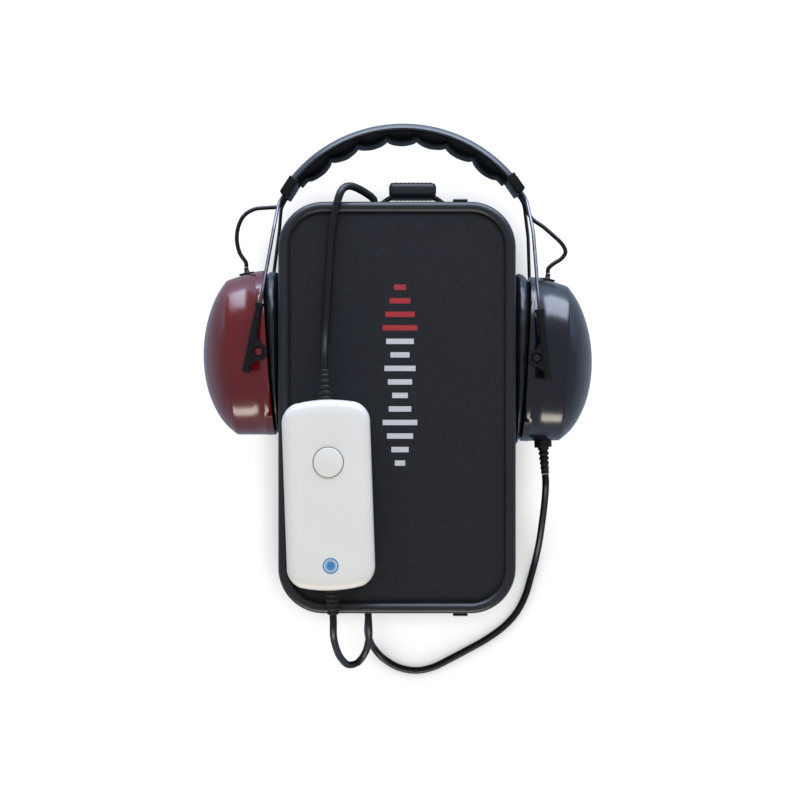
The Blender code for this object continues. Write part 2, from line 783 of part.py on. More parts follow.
def make_unit_inside(look, unit, button):
    board_low = unit_bottom + board_height
    board_top = board_low + board_thickness
    bm = bmesh.new()
    box(bm, (-board_width / 2, -board_length / 2, board_low), (board_width / 2, board_length / 2, board_top))
    add_unit_piece("unit_circuit_board", bm, look["board"], unit)
    bm = bmesh.new()
    box(bm, (-chip_side / 2, chip_y - chip_side / 2, board_top + gap),
        (chip_side / 2, chip_y + chip_side / 2, board_top + gap + chip_height))
    add_unit_piece("unit_sound_chip", bm, look["black"], unit)
    bm = bmesh.new()
    low = board_top + gap
    box(bm, (button_x - switch_side / 2, button_y - switch_side / 2, low),
        (button_x + switch_side / 2, button_y + switch_side / 2, low + switch_height))
    switch = add_unit_piece("unit_push_switch", bm, look["black"], unit)
    top = low + switch_height
    combine(switch, "UNION", in_unit(lambda bm: rod(
        bm, (button_x, button_y, top - gap), (button_x, button_y, top + plunger_height), plunger_radius)))
    flange_top = unit_top - unit_roof - gap
    flange = flange_top - button_flange_height
    crown = unit_top + button_proud
    bm = bmesh.new()
    turned(bm, [
        (button_stem_radius, top + plunger_height + button_travel + gap),
        (button_stem_radius, flange),
        (button_flange_radius, flange),
        (button_flange_radius, flange_top),
        (button_radius, flange_top),
        (button_radius, crown - button_edge),
        (button_radius - button_edge, crown),
        (button_radius / 2, crown + button_dome),
    ], (button_x, button_y, 0.0), (0.0, 0.0, 1.0), round_sides)
    add_unit_piece("response_button", bm, look["white"], button)
    head = unit_bottom + screw_sink
    for name, side in (("upper", 1.0), ("lower", -1.0)):
        bm = bmesh.new()
        turned(bm, [(screw_head_radius, 0.0), (screw_head_radius, screw_head_height),
                    (screw_radius, screw_head_height), (screw_radius, screw_length)],
               (side * boss_x, side * boss_y, head), (0.0, 0.0, 1.0), small_sides)
        add_unit_piece(f"unit_screw_{name}", bm, look["steel"], unit)


def band_point(radius, angle, z):
    return (band_x + radius * math.cos(angle), band_y + radius * math.sin(angle), headset_z + z)


def band_span():
    return band_end, 2 * band_middle - band_end


def band_angles():
    first, last = band_span()
    return [first + (last - first) * n / band_steps for n in range(band_steps + 1)]


def make_band(look, band):
    half = band_width / 2
    inner = band_radius - cover_depth
    profile = [
        (band_radius, cover_round - half), (band_radius, half - cover_round),
        (band_radius - cover_round, half), (inner, half), (inner, half - cover_lip),
        (band_radius - cover_thickness, half - cover_lip), (band_radius - cover_thickness, cover_lip - half),
        (inner, cover_lip - half), (inner, -half), (band_radius - cover_round, -half),
    ]
    bm = bmesh.new()
    loft(bm, [[band_point(radius, angle, z) for radius, z in profile] for angle in band_angles()])
    add_piece("headband_cover", bm, look["pad"], band)
    high = band_radius - cover_thickness - gap
    low = high - band_spring_thickness
    wide = band_spring_width / 2
    bm = bmesh.new()
    loft(bm, [
        [band_point(radius, angle, z) for radius, z in ((low, -wide), (high, -wide), (high, wide), (low, wide))]
        for angle in band_angles()
    ])
    add_piece("headband_spring", bm, look["steel"], band)
    middle = high - band_wire_radius
    z = wide + 2 * gap + band_wire_radius
    bm = bmesh.new()
    loft(bm, [
        [band_point(middle + band_wire_radius * math.cos(turn), angle, z + band_wire_radius * math.sin(turn))
         for turn in (math.pi / 3 * k for k in range(6))]
        for angle in band_angles()
    ])
    add_piece("headband_crossover_wire", bm, look["rubber"], band)
    make_band_pad(look, band, min(inner, middle - band_wire_radius) - gap)


def make_band_pad(look, band, top):
    """The padded underside, sewn into lobes across the band."""
    first, last = band_span()
    half = band_width / 2 - pad_inset
    lobes = (last - first) / lobe_angle
    count = round(lobes * lobe_steps)
    base = band_radius - cover_depth
    rings = []
    for n in range(count + 1):
        angle = first + (last - first) * n / count
        phase = ((angle - band_middle) / lobe_angle + 0.5) % 1.0
        swell = math.sin(math.pi * phase) ** 0.6
        low = base - pad_valley - (pad_lobe - pad_valley) * swell
        edge = base - pad_valley / 2 - (pad_lobe - pad_valley) * swell / 2
        rings.append([band_point(radius, angle, z) for radius, z in (
            (top, -half), (top, half), (edge, half), (low, half * 0.7), (low, -half * 0.7), (edge, -half),
        )])
    bm = bmesh.new()
    loft(bm, rings)
    add_piece("headband_cushion", bm, look["pad"], band)


def beside(out, place):
    """A place in the headset's middle plane, from one that is measured from the case's side and end."""
    return Vector((out * (case_width / 2 + place[0]), case_length / 2 + place[1], headset_z))


def band_place(out, place):
    """A place that is measured from the middle of the band's end on that side."""
    end = band_span()[0 if out > 0 else 1]
    return Vector(band_point(band_radius - cover_depth / 2, end, 0.0)) + Vector((out * place[0], place[1], 0.0))


def side_frame(side):
    """A side's directions: outwards and upwards along the cup, down the sleeve and out of it, down the clip."""
    made = sides[side]
    out = made["out"]
    tilt, wire, clip = made["tilt"], made["wire"], made["clip_turn"]
    up = Vector((out * math.sin(tilt), math.cos(tilt), 0.0))
    away = Vector((out * math.cos(tilt), -math.sin(tilt), 0.0))
    down = Vector((out * math.sin(wire), -math.cos(wire), 0.0))
    off = Vector((out * math.cos(wire), math.sin(wire), 0.0))
    fall = Vector((out * math.sin(clip), -math.cos(clip), 0.0))
    hole = beside(out, made["pivot"])
    return {
        "out": out, "up": up, "away": away, "down": down, "off": off, "fall": fall, "pivot": hole,
        "mouth": hole - away * pivot_depth,
        "sleeve": hole - down * pivot_along + off * pivot_offset,
        "clip": band_place(out, made["clip"]),
        "bend": beside(out, made["bend"]),
        "cross": [beside(out, place) for place in made["cross"]],
    }


def clip_bottom(frame):
    return frame["clip"] + frame["fall"] * clip_length


def make_clip(look, band, side, frame):
    across = frame["fall"].cross(Vector((0.0, 0.0, 1.0)))
    bm = bmesh.new()
    box(bm, (-clip_thickness / 2, 0.0, -clip_width / 2), (clip_thickness / 2, clip_length - clip_gap, clip_width / 2))
    bmesh.ops.bevel(bm, geom=bm.edges[:], offset=clip_bevel, segments=1, profile=0.5, affect="EDGES", material=-1)
    turn = Matrix((across, frame["fall"], Vector((0.0, 0.0, 1.0)))).transposed().to_4x4()
    place = Matrix.Translation(frame["clip"] + frame["fall"] * clip_gap) @ turn
    bmesh.ops.transform(bm, matrix=place, verts=bm.verts)
    clip = add_piece(f"{side}_band_clip", bm, look["black"], band)

    def slot(bm):
        box(bm, (-slot_width / 2, clip_length - clip_gap - slot_depth, -wire_spread_clip - slot_width / 2),
            (slot_width / 2, clip_length + overrun, wire_spread_clip + slot_width / 2))
        bmesh.ops.transform(bm, matrix=place, verts=bm.verts)
    combine(clip, "DIFFERENCE", slot)


def make_yoke(look, arm, side, frame):
    """One steel wire: from the lower sleeve up to the clip, across in its slot and down to the upper sleeve."""
    path = []
    for z in (-1.0, 1.0):
        start = yoke_turn(frame) + Vector((0.0, 0.0, z * wire_spread_clip))
        entry = frame["sleeve"] + Vector((0.0, 0.0, z * sleeve_height))
        run = [
            start,
            start + frame["fall"] * (slot_depth + wire_lead_in),
            frame["bend"] + Vector((0.0, 0.0, z * wire_spread_bend)),
            entry - frame["down"] * wire_lead_in,
            entry + frame["down"] * (sleeve_length - sleeve_end_wall - wire_end_gap),
        ]
        path += run[::-1] if z < 0 else run
    bm = bmesh.new()
    sweep(bm, filleted(path, wire_bend_radius, 3), wire_radius, wire_sides)
    add_piece(f"{side}_wire_yoke", bm, look["steel"], arm)


def yoke_turn(frame):
    """The middle of the yoke's cross run in the clip's slot, which is the arm's hinge."""
    return clip_bottom(frame) - frame["fall"] * (slot_depth - gap - wire_radius)


def sweep(bm, path, radius, steps):
    """A round solid along a path, with its ends square to it."""
    path = [Vector(point) for point in path]
    ways = [(path[1] - path[0]).normalized()]
    ways += [(after - before).normalized() for before, after in zip(path, path[2:])]
    ways += [(path[-1] - path[-2]).normalized()]
    side = ways[0].orthogonal().normalized()
    rings = []
    for point, way in zip(path, ways):
        side = (side - way * side.dot(way)).normalized()
        other = way.cross(side)
        rings.append([
            point + radius * (side * math.cos(2 * math.pi * n / steps) + other * math.sin(2 * math.pi * n / steps))
            for n in range(steps)
        ])
    loft(bm, rings)


def make_sleeve(look, parent, side, frame, name, z):
    top = frame["sleeve"] + Vector((0.0, 0.0, z * sleeve_height))
    down, off = frame["down"], frame["off"]
    hole = Vector((frame["pivot"].x, frame["pivot"].y, top.z))
    bm = bmesh.new()
    turned(bm, [
        (sleeve_collar_radius, 0.0), (sleeve_collar_radius, sleeve_collar_height),
        (sleeve_radius, sleeve_collar_height), (sleeve_radius, sleeve_length),
    ], top, down, small_sides)
    sleeve = add_piece(f"{side}_sleeve_{name}", bm, look["black"], parent)

    def lobe(bm):
        foot = top + down * pivot_along
        outline = [foot - down * lobe_run, foot + down * lobe_run]
        for n in range(9):
            angle = math.pi * n / 8
            outline.append(hole + lobe_radius * (down * math.cos(angle) - off * math.sin(angle)))
        points = [(p.x, p.y) for p in outline]
        prism(bm, points, top.z - lobe_thickness / 2, top.z + lobe_thickness / 2)
    combine(sleeve, "UNION", lobe)
    combine(
        sleeve, "DIFFERENCE",
        lambda bm: rod(bm, top - down * overrun, top + down * (sleeve_length - sleeve_end_wall), sleeve_bore_radius),
        lambda bm: rod(bm, hole - Vector((0.0, 0.0, lobe_thickness)), hole + Vector((0.0, 0.0, lobe_thickness)),
                       pin_hole_radius, round_sides),
    )


def oval(half_height, half_breadth):
    """Points of a superellipse, as (height, breadth) pairs."""
    points = []
    for n in range(cup_points):
        angle = 2 * math.pi * n / cup_points
        c, s = math.cos(angle), math.sin(angle)
        points.append((
            half_height * math.copysign(abs(c) ** (2 / cup_power), c),
            half_breadth * math.copysign(abs(s) ** (2 / cup_power), s),
        ))
    return points


def cup_ring(frame, depth, half_height, half_breadth, sag=0.0):
    up, away = frame["up"], frame["away"]
    return [
        frame["mouth"] + away * depth + up * (height - sag) + Vector((0.0, 0.0, breadth))
        for height, breadth in oval(half_height, half_breadth)
    ]


def make_cup(look, cup, side, frame):
    rings = []
    for depth_share, size_share in zip(cup_depth_shares, cup_size_shares):
        rings.append(cup_ring(frame, depth_share * cup_depth, size_share * cup_height / 2,
                              size_share * cup_breadth / 2, cup_sag * depth_share**2))
    inner = []
    for pick in cup_inner_picks:
        depth_share, size_share = cup_depth_shares[pick], cup_size_shares[pick]
        inner.append(cup_ring(frame, depth_share * (cup_depth - cup_wall), size_share * cup_height / 2 - cup_wall,
                              size_share * cup_breadth / 2 - cup_wall, cup_sag * depth_share**2))
    bm = bmesh.new()
    loft(bm, rings[::-1] + inner)
    shell = add_piece(f"{side}_cup_shell", bm, look[side], cup)

    def pin(z):
        def draw(bm):
            skin = frame["pivot"] + Vector((0.0, 0.0, z * (cup_breadth / 2 - cup_wall / 2)))
            rod(bm, skin, skin + Vector((0.0, 0.0, z * (pin_reach + cup_wall / 2))), pin_radius, round_sides)
        return draw
    combine(shell, "UNION", pin(-1.0), pin(1.0))
    combine(shell, "DIFFERENCE", lambda bm: cord_hole(bm, frame, 1.0, grommet_depth))
    if side == "blue":
        combine(shell, "DIFFERENCE", lambda bm: cord_hole(bm, frame, -1.0, cup_relief_depth))


def cord_hole(bm, frame, way, depth):
    """The hole under a cup's grommet, or under its strain relief."""
    skin = frame["mouth"] + frame["away"] * depth + frame["up"] * way * cup_height / 2
    rod(bm, skin - frame["up"] * way * 2 * overrun, skin + frame["up"] * way * overrun, cord_hole_radius)


def make_cup_inside(look, cup, side, frame):
    half_height, half_breadth = cup_height / 2 - cup_wall - gap, cup_breadth / 2 - cup_wall - gap
    bm = bmesh.new()
    loft(bm, [cup_ring(frame, 0.0, half_height, half_breadth), cup_ring(frame, baffle_thickness, half_height,
                                                                        half_breadth)])
    baffle = add_piece(f"{side}_cup_baffle", bm, look["black"], cup)
    combine(baffle, "DIFFERENCE", lambda bm: rod(
        bm, frame["mouth"] - frame["away"] * overrun, frame["mouth"] + frame["away"] * (baffle_thickness + overrun),
        baffle_hole_radius, round_sides))
    bm = bmesh.new()
    start = baffle_thickness + gap
    turned(bm, [
        (receiver_radius * 0.9, 0.0), (receiver_radius, receiver_depth * 0.1), (receiver_radius, receiver_depth * 0.6),
        (receiver_radius * 0.6, receiver_depth * 0.65), (receiver_radius * 0.6, receiver_depth),
    ], frame["mouth"] + frame["away"] * start, frame["away"], round_sides)
    add_piece(f"{side}_receiver", bm, look["black"], cup)


def make_ear_cushion(look, cup, side, frame):
    """The cushion is squeezed between the cup's mouth and the case's wall, so its face is flat on the wall."""
    face = frame["out"] * (case_width / 2 + gap)
    rings = []
    profile = [(share, cushion_inset + round_share * cushion_round) for share, round_share in cushion_rings]
    profile += [(share, cushion_inset + cushion_width - round_share * cushion_round)
                for share, round_share in cushion_rings[::-1]]
    for share, inset in profile:
        ring = []
        for point in cup_ring(frame, -gap, cup_height / 2 - inset, cup_breadth / 2 - inset):
            point.x += share * (face - point.x)
            ring.append(point)
        rings.append(ring)
    bm = bmesh.new()
    loft(bm, rings, closed=True)
    add_piece(f"{side}_ear_cushion", bm, look["pad"], cup)


def grommet_top(frame):
    return (frame["mouth"] + frame["away"] * grommet_depth
            + frame["up"] * (cup_height / 2 + gap + grommet_height))


def make_grommet(look, cup, side, frame):
    bm = bmesh.new()
    foot = grommet_top(frame) - frame["up"] * grommet_height
    turned(bm, [
        (grommet_radius, 0.0), (grommet_radius, grommet_height * 0.4), (grommet_radius * 0.8, grommet_height * 0.75),
        (grommet_radius * 0.4, grommet_height),
    ], foot, frame["up"], small_sides)
    add_piece(f"{side}_cord_grommet", bm, look["rubber"], cup)


def relief_foot(frame):
    return frame["mouth"] + frame["away"] * cup_relief_depth - frame["up"] * (cup_height / 2 + gap)


def relief_way(frame):
    return (frame["away"] * cup_relief_lean_share - frame["up"]).normalized()


def make_cup_relief(look, cup, frame):
    tip = lead_diameter / 2 + gap
    profile = [(cup_relief_collar_radius, 0.0), (cup_relief_collar_radius, cup_relief_collar_height)]
    length = cup_relief_length - cup_relief_collar_height
    profile += [(r, cup_relief_collar_height + along) for r, along in relief_profile(cup_relief_radius, length, tip)]
    bm = bmesh.new()
    turned(bm, profile, relief_foot(frame), relief_way(frame), small_sides)
    add_piece("blue_lead_strain_relief", bm, look["rubber"], cup)


def cross_route(frame):
    """A crossover cord's route, from the band's clip to the cup's grommet."""
    start = clip_bottom(frame) + frame["fall"] * gap
    end = grommet_top(frame) + frame["up"] * gap
    way = frame["fall"] * cross_diameter
    lift = frame["up"] * cross_diameter
    return [start, start + way] + frame["cross"] + [end + lift, end]


def usb_route(matrix):
    """The USB cord's free stretch: over the lid, down the short wall and in through the open zip to the coil."""
    far = unit_length / 2 + gap + usb_relief_length + gap
    start = matrix @ Vector((0.0, far, relief_z))
    straight = matrix @ Vector((0.0, far + usb_cord_diameter, relief_z))
    return [
        start, straight, (-0.0458, 0.0370, 0.1065), (-0.0455, 0.0475, 0.1025), (-0.0446, 0.0600, 0.1008),
        (-0.0438, 0.0740, 0.1007), (-0.0427, 0.0930, 0.1007), (-0.0412, 0.1120, 0.1009), (-0.0392, 0.1240, 0.1011),
        (-0.0372, 0.1330, 0.1008), (-0.0345, 0.1390, 0.0985), (-0.0305, 0.1412, 0.0945), (-0.0255, 0.1402, 0.0900),
        (-0.0195, 0.1372, 0.0852), (-0.0150, 0.1337, 0.0828), (-0.0141, 0.1295, 0.0822), (-0.0141, 0.1255, 0.0808),
        (-0.0145, 0.1232, 0.0750), (-0.0160, 0.1225, 0.0600), (-0.0190, 0.1222, 0.0400), (-0.0225, 0.1210, 0.0240),
        (-0.0222, 0.1165, 0.0145), (-0.0155, 0.1085, 0.0112),
    ]


def lead_route_unit(matrix):
    """The headset lead from the unit: a loop that hangs past the short wall, and in through the open zip."""
    far = unit_length / 2 + gap + lead_relief_length + gap
    start = matrix @ Vector((0.0, -far, relief_z))
    straight = matrix @ Vector((0.0, -far - lead_diameter, relief_z))
    return [
        start, straight, (-0.0402, -0.1440, 0.1052), (-0.0388, -0.1530, 0.0950), (-0.0358, -0.1618, 0.0800),
        (-0.0310, -0.1672, 0.0680), (-0.0255, -0.1662, 0.0630), (-0.0210, -0.1600, 0.0650), (-0.0186, -0.1520, 0.0720),
        (-0.0180, -0.1440, 0.0792), (-0.0183, -0.1370, 0.0821), (-0.0186, -0.1310, 0.0825), (-0.0180, -0.1264, 0.0817),
        (-0.0156, -0.1236, 0.0785), (-0.0140, -0.1228, 0.0600), (-0.0160, -0.1225, 0.0380), (-0.0195, -0.1205, 0.0210),
        (-0.0180, -0.1130, 0.0125), (-0.0115, -0.0990, 0.0110),
    ]


def lead_route_cup(frame):
    """The headset lead from its coil: out under the lid, over the table and up to the blue cup."""
    tip = relief_foot(frame) + relief_way(frame) * (cup_relief_length + gap)
    near = tip + relief_way(frame) * lead_diameter
    return [
        (-0.0325, -0.0790, 0.0160), (-0.0322, -0.0940, 0.0150), (-0.0300, -0.1090, 0.0165), (-0.0268, -0.1190, 0.0250),
        (-0.0245, -0.1222, 0.0400), (-0.0242, -0.1226, 0.0580), (-0.0222, -0.1226, 0.0700), (-0.0195, -0.1258, 0.0762),
        (-0.0186, -0.1310, 0.0772), (-0.0187, -0.1368, 0.0752), (-0.0192, -0.1430, 0.0660), (-0.0192, -0.1495, 0.0460),
        (-0.0180, -0.1565, 0.0250), (-0.0155, -0.1630, 0.0095), (-0.0100, -0.1700, 0.0035), (0.0005, -0.1765, 0.0028),
        (0.0130, -0.1788, 0.0028), (0.0244, -0.1765, 0.0028), (0.0361, -0.1708, 0.0028), (0.0478, -0.1646, 0.0028),
        (0.0602, -0.1577, 0.0028), (0.0726, -0.1487, 0.0028), (0.0812, -0.1391, 0.0028), (0.0871, -0.1274, 0.0029),
        (0.0905, -0.1157, 0.0035), (0.0936, -0.1033, 0.0065), (0.0958, -0.0900, 0.0140), (0.0970, -0.0770, 0.0240),
        (0.0976, -0.0660, 0.0350), (0.0978, -0.0570, 0.0440), near, tip,
    ]


def make_cords(look, case, frames):
    matrix = unit_matrix()
    floor = case_floor + gap + tie_thickness + gap
    usb = coil((0.0, usb_coil_y, floor + usb_cord_diameter / 2), usb_coil_radius, usb_cord_diameter,
               usb_coil_turns, math.pi / 2, -1.0)
    lead = coil((0.0, lead_coil_y, floor + lead_diameter / 2), lead_coil_radius, lead_diameter,
                lead_coil_turns, -math.pi / 2, 1.0)
    tail = plug_route(usb[-1])
    usb_way = smooth_route(usb_route(matrix) + meeting(usb[1], usb[0], usb_cord_diameter)[::-1], cord_spacing)
    unit_way = smooth_route(lead_route_unit(matrix) + meeting(lead[1], lead[0], lead_diameter)[::-1], cord_spacing)
    cup_way = smooth_route(meeting(lead[-2], lead[-1], lead_diameter) + lead_route_cup(frames["blue"]), cord_spacing)
    tube("usb_cord_run", usb_way, usb_cord_diameter / 2, look["rubber"], case, 2)
    tube("usb_cord_coil", usb + tail, usb_cord_diameter / 2, look["rubber"], case, 1)
    tube("lead_run_unit", unit_way, lead_diameter / 2, look["rubber"], case, 2)
    tube("lead_coil", lead, lead_diameter / 2, look["rubber"], case, 1)
    tube("lead_run_cup", cup_way, lead_diameter / 2, look["rubber"], case, 2)
    for side, frame in frames.items():
        tube(f"{side}_crossover_cord", smooth_route(cross_route(frame), 2 * cross_diameter),
             cross_diameter / 2, look["rubber"], frame["arm"], 2)
    print("usb cord, m:", round(length_of(usb_way) + length_of(usb + tail), 3), "of", usb_length)
    print("headset lead, m:", round(length_of(unit_way) + length_of(lead) + length_of(cup_way), 3), "of", lead_length)
    print("least gaps in the coils, mm:", round(least_gap(usb, usb_cord_diameter) * 1000, 2),
          round(least_gap(lead, lead_diameter) * 1000, 2))
    make_plug(look, case)
    make_ties(look, case, floor)


def meeting(before, end, diameter):
    """Two points that carry straight on from a coil's end, so that both tubes' ends are square."""
    way = (end - before).normalized()
    return [end + way * gap, end + way * (gap + diameter)]


def plug_route(start):
    """The short stretch from the coil's end to the plug."""
    end = Vector((plug_x, plug_y + gap, case_floor + gap + plug_body_height / 2))
    straight = Vector((0.0, usb_cord_diameter, 0.0))
    points = [start, start - straight, end + 2 * straight, end + straight, end]
    return smooth_route(points, usb_cord_diameter)[1:]


def make_plug(look, case):
    """The USB plug lies on the case's floor beside the coil."""
    low = case_floor + gap
    middle = low + plug_body_height / 2
    end = plug_y - plug_body_length
    bm = bmesh.new()
    box(bm, (plug_x - plug_body_width / 2, end, low), (plug_x + plug_body_width / 2, plug_y, low + plug_body_height))
    bmesh.ops.bevel(bm, geom=bm.edges[:], offset=plug_body_height / 6, segments=2, profile=0.5,
                    affect="EDGES", material=-1)
    add_piece("usb_plug_body", bm, look["rubber"], case)
    bm = bmesh.new()
    box(bm, (plug_x - plug_shell_width / 2, end - gap - plug_shell_length, middle - plug_shell_height / 2),
        (plug_x + plug_shell_width / 2, end - gap, middle + plug_shell_height / 2))
    shell = add_piece("usb_plug_shell", bm, look["steel"], case)
    combine(shell, "DIFFERENCE", lambda bm: box(
        bm,
        (plug_x - plug_shell_width / 2 + plug_shell_wall, end - plug_shell_length - overrun,
         middle - plug_shell_height / 2 + plug_shell_wall),
        (plug_x + plug_shell_width / 2 - plug_shell_wall, end - overrun,
         middle + plug_shell_height / 2 - plug_shell_wall)))


def make_ties(look, case, floor):
    """A strap round each coil's turns."""
    for name, y, outer, turns, diameter, way in (
        ("usb_coil_tie", usb_coil_y, usb_coil_radius, usb_coil_turns, usb_cord_diameter, -1.0),
        ("lead_coil_tie", lead_coil_y, lead_coil_radius, lead_coil_turns, lead_diameter, 1.0),
    ):
        inner = outer - diameter * turn_step_share * turns / 2
        near, far = inner - diameter / 2 - 2 * gap, outer + diameter / 2 + 2 * gap
        low, high = floor - gap, floor + diameter * (1 + layer_step_share) + gap
        loops = []
        for x, grow in ((0.0, 0.0), (0.0, tie_thickness), (tie_width, tie_thickness), (tie_width, 0.0)):
            a, b = sorted(y + way * r for r in (near - grow, far + grow))
            x -= tie_width / 2
            loops.append([(x, a, low - grow), (x, b, low - grow), (x, b, high + grow), (x, a, high + grow)])
        bm = bmesh.new()
        loft(bm, loops, closed=True)
        add_piece(name, bm, look["fabric"], case, smooth=False)


def make_headset(look, case):
    band = pivot("headband", (band_x, band_y, headset_z), case)
    make_band(look, band)
    frames = {}
    for side in sides:
        frame = side_frame(side)
        turn = yoke_turn(frame)
        arm = pivot(f"{side}_arm", turn, band)
        slide = pivot(f"{side}_sleeves", frame["sleeve"], arm)
        cup = pivot(f"{side}_cup", frame["pivot"], slide)
        frame["arm"] = arm
        make_clip(look, band, side, frame)
        make_yoke(look, arm, side, frame)
        make_sleeve(look, slide, side, frame, "upper", 1.0)
        make_sleeve(look, slide, side, frame, "lower", -1.0)
        make_cup(look, cup, side, frame)
        make_cup_inside(look, cup, side, frame)
        make_ear_cushion(look, cup, side, frame)
        make_grommet(look, cup, side, frame)
        if side == "blue":
            make_cup_relief(look, cup, frame)
        frames[side] = frame
        print(side, "arm hinge", [round(v, 5) for v in turn], "pins", [round(v, 5) for v in frame["pivot"]],
              "sleeve way", [round(v, 5) for v in frame["down"]])
    return frames


def main():
    clear_scene()
    look = finishes()
    case = pivot("case", (0.0, 0.0, 0.0))
    lid = pivot("lid", (hinge_x, 0.0, hinge_z), case)
    unit = pivot("unit", (unit_x, unit_y, unit_bottom), lid)
    button = pivot("button", unit_matrix() @ Vector((button_x, button_y, unit_top)), unit)
    make_base(look, case)
    make_zip(look, case, lid)
    make_lid(look, lid)
    make_sliders(look, case)
    make_handle(look, case)
    make_unit_shells(look, unit)
    make_end_panels(look, unit)
    make_unit_reliefs(look, unit)
    make_unit_inside(look, unit, button)
    frames = make_headset(look, case)
    make_cords(look, case, frames)
    print("lid hinge", round(hinge_x, 5), round(hinge_z, 5), "unit", round(unit_bottom, 5), round(unit_top, 5))


main()
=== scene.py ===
# Looks for the screening audiometer kit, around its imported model. Metres, +Z up, seen from straight above.
import math

import bmesh
import bpy
from mathutils import Matrix, Vector, noise


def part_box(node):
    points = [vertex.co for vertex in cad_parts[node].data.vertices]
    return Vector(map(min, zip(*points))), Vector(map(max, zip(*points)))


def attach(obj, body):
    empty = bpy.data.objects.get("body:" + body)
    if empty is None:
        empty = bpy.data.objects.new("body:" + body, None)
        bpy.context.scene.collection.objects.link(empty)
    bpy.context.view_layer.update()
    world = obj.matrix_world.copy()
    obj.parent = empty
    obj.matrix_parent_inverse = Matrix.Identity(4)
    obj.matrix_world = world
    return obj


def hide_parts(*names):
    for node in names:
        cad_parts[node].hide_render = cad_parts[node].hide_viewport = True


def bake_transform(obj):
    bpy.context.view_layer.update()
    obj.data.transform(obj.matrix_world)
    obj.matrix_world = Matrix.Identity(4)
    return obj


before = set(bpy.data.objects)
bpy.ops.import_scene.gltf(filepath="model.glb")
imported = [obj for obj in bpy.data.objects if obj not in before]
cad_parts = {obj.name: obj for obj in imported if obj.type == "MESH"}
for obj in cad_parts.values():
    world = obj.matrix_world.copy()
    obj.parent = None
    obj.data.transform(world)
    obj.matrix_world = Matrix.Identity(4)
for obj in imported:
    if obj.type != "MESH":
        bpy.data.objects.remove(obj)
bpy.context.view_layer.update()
hair = 0.0003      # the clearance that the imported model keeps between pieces


# Camera, floor and light
stage = {
    "eye": (0.0019, 0.0048, 1.5), "lens": 99.26, "farClip": 10.0,
    "floor": 3.0, "floorSeen": "#787878", "floorBounce": "#d8dade", "floorGlow": 0.89, "paintedShadowReach": 0.022,
    "lampReach": (0.5, 1.4), "floorPaintedReflection": 0.3, "windowPaintedReflection": 1.7, "windowReach": (0.10, 0.42),
    "paintedReflectionTint": "#a6c4ea", "sky": "#e4eaf4", "skyStrength": 0.36,
}
# A wide low cool window beyond the headband, a low warm one before the leads, and a soft top light
lamps = {
    "window": {"at": (0.1, 1.15, 0.47), "aim": (0.0, 0.0, 0.30), "size": (1.7, 0.92),
               "colour": "#dde8ff", "watts": 33.0},
    "warmWindow": {"at": (-0.1, -1.2, 0.46), "aim": (0.0, 0.0, 0.04), "size": (1.3, 0.36),
                   "colour": "#fff5ea", "watts": 10.0},
    "topLight": {"at": (0.0, 0.0, 1.9), "aim": (0.0, 0.0, 0.0), "size": (1.5, 1.5),
                 "colour": "#fffcf6", "watts": 13.5},
}


def toLinear(hexColour):
    parts = [int(hexColour[n:n + 2], 16) / 255 for n in (1, 3, 5)]
    return [c / 12.92 if c <= 0.04045 else ((c + 0.055) / 1.055) ** 2.4 for c in parts] + [1.0]


def addNode(tree, kind, inputs=None, **settings):
    node = tree.nodes.new(kind)
    for name, value in settings.items():
        setattr(node, name, value)
    for name, value in (inputs or {}).items():
        if isinstance(value, bpy.types.NodeSocket):
            tree.links.new(value, node.inputs[name])
        else:
            node.inputs[name].default_value = value
    return node


def emptyTree(holder):
    holder.use_nodes = True
    holder.node_tree.nodes.clear()
    return holder.node_tree


def makeCamera(scene):
    camera = bpy.data.objects.new("camera", bpy.data.cameras.new("camera"))
    scene.collection.objects.link(camera)
    camera.location = stage["eye"]      # it looks straight down, with +Y at the top of the frame
    camera.data.lens = stage["lens"]
    camera.data.clip_end = stage["farClip"]
    scene.camera = camera


def makeLamp(scene, name, lamp):
    light = bpy.data.lights.new(name, "AREA")
    light.shape = "RECTANGLE"
    light.size, light.size_y = lamp["size"]
    light.energy = lamp["watts"]
    light.color = toLinear(lamp["colour"])[:3]
    obj = bpy.data.objects.new(name, light)
    scene.collection.objects.link(obj)
    way = Vector(lamp["aim"]) - Vector(lamp["at"])
    obj.matrix_world = Matrix.LocRotScale(Vector(lamp["at"]), way.to_track_quat("-Z", "Y"), None)
    obj.visible_glossy = name != "topLight"      # the room's even light has no shape to mirror


def makeSky(scene):
    scene.world = bpy.data.worlds.new("sky")
    tree = emptyTree(scene.world)
    ray = addNode(tree, "ShaderNodeLightPath").outputs
    lit = addNode(tree, "ShaderNodeBackground", {"Color": toLinear(stage["sky"]),
                                                 "Strength": stage["skyStrength"]})
    seen = addNode(tree, "ShaderNodeBackground", {"Color": toLinear("#ffffff"), "Strength": 1.0})
    both = addNode(tree, "ShaderNodeMixShader", {0: ray["Is Camera Ray"], 1: lit.outputs[0],
                                                 2: seen.outputs[0]})
    addNode(tree, "ShaderNodeOutputWorld", {"Surface": both.outputs[0]})


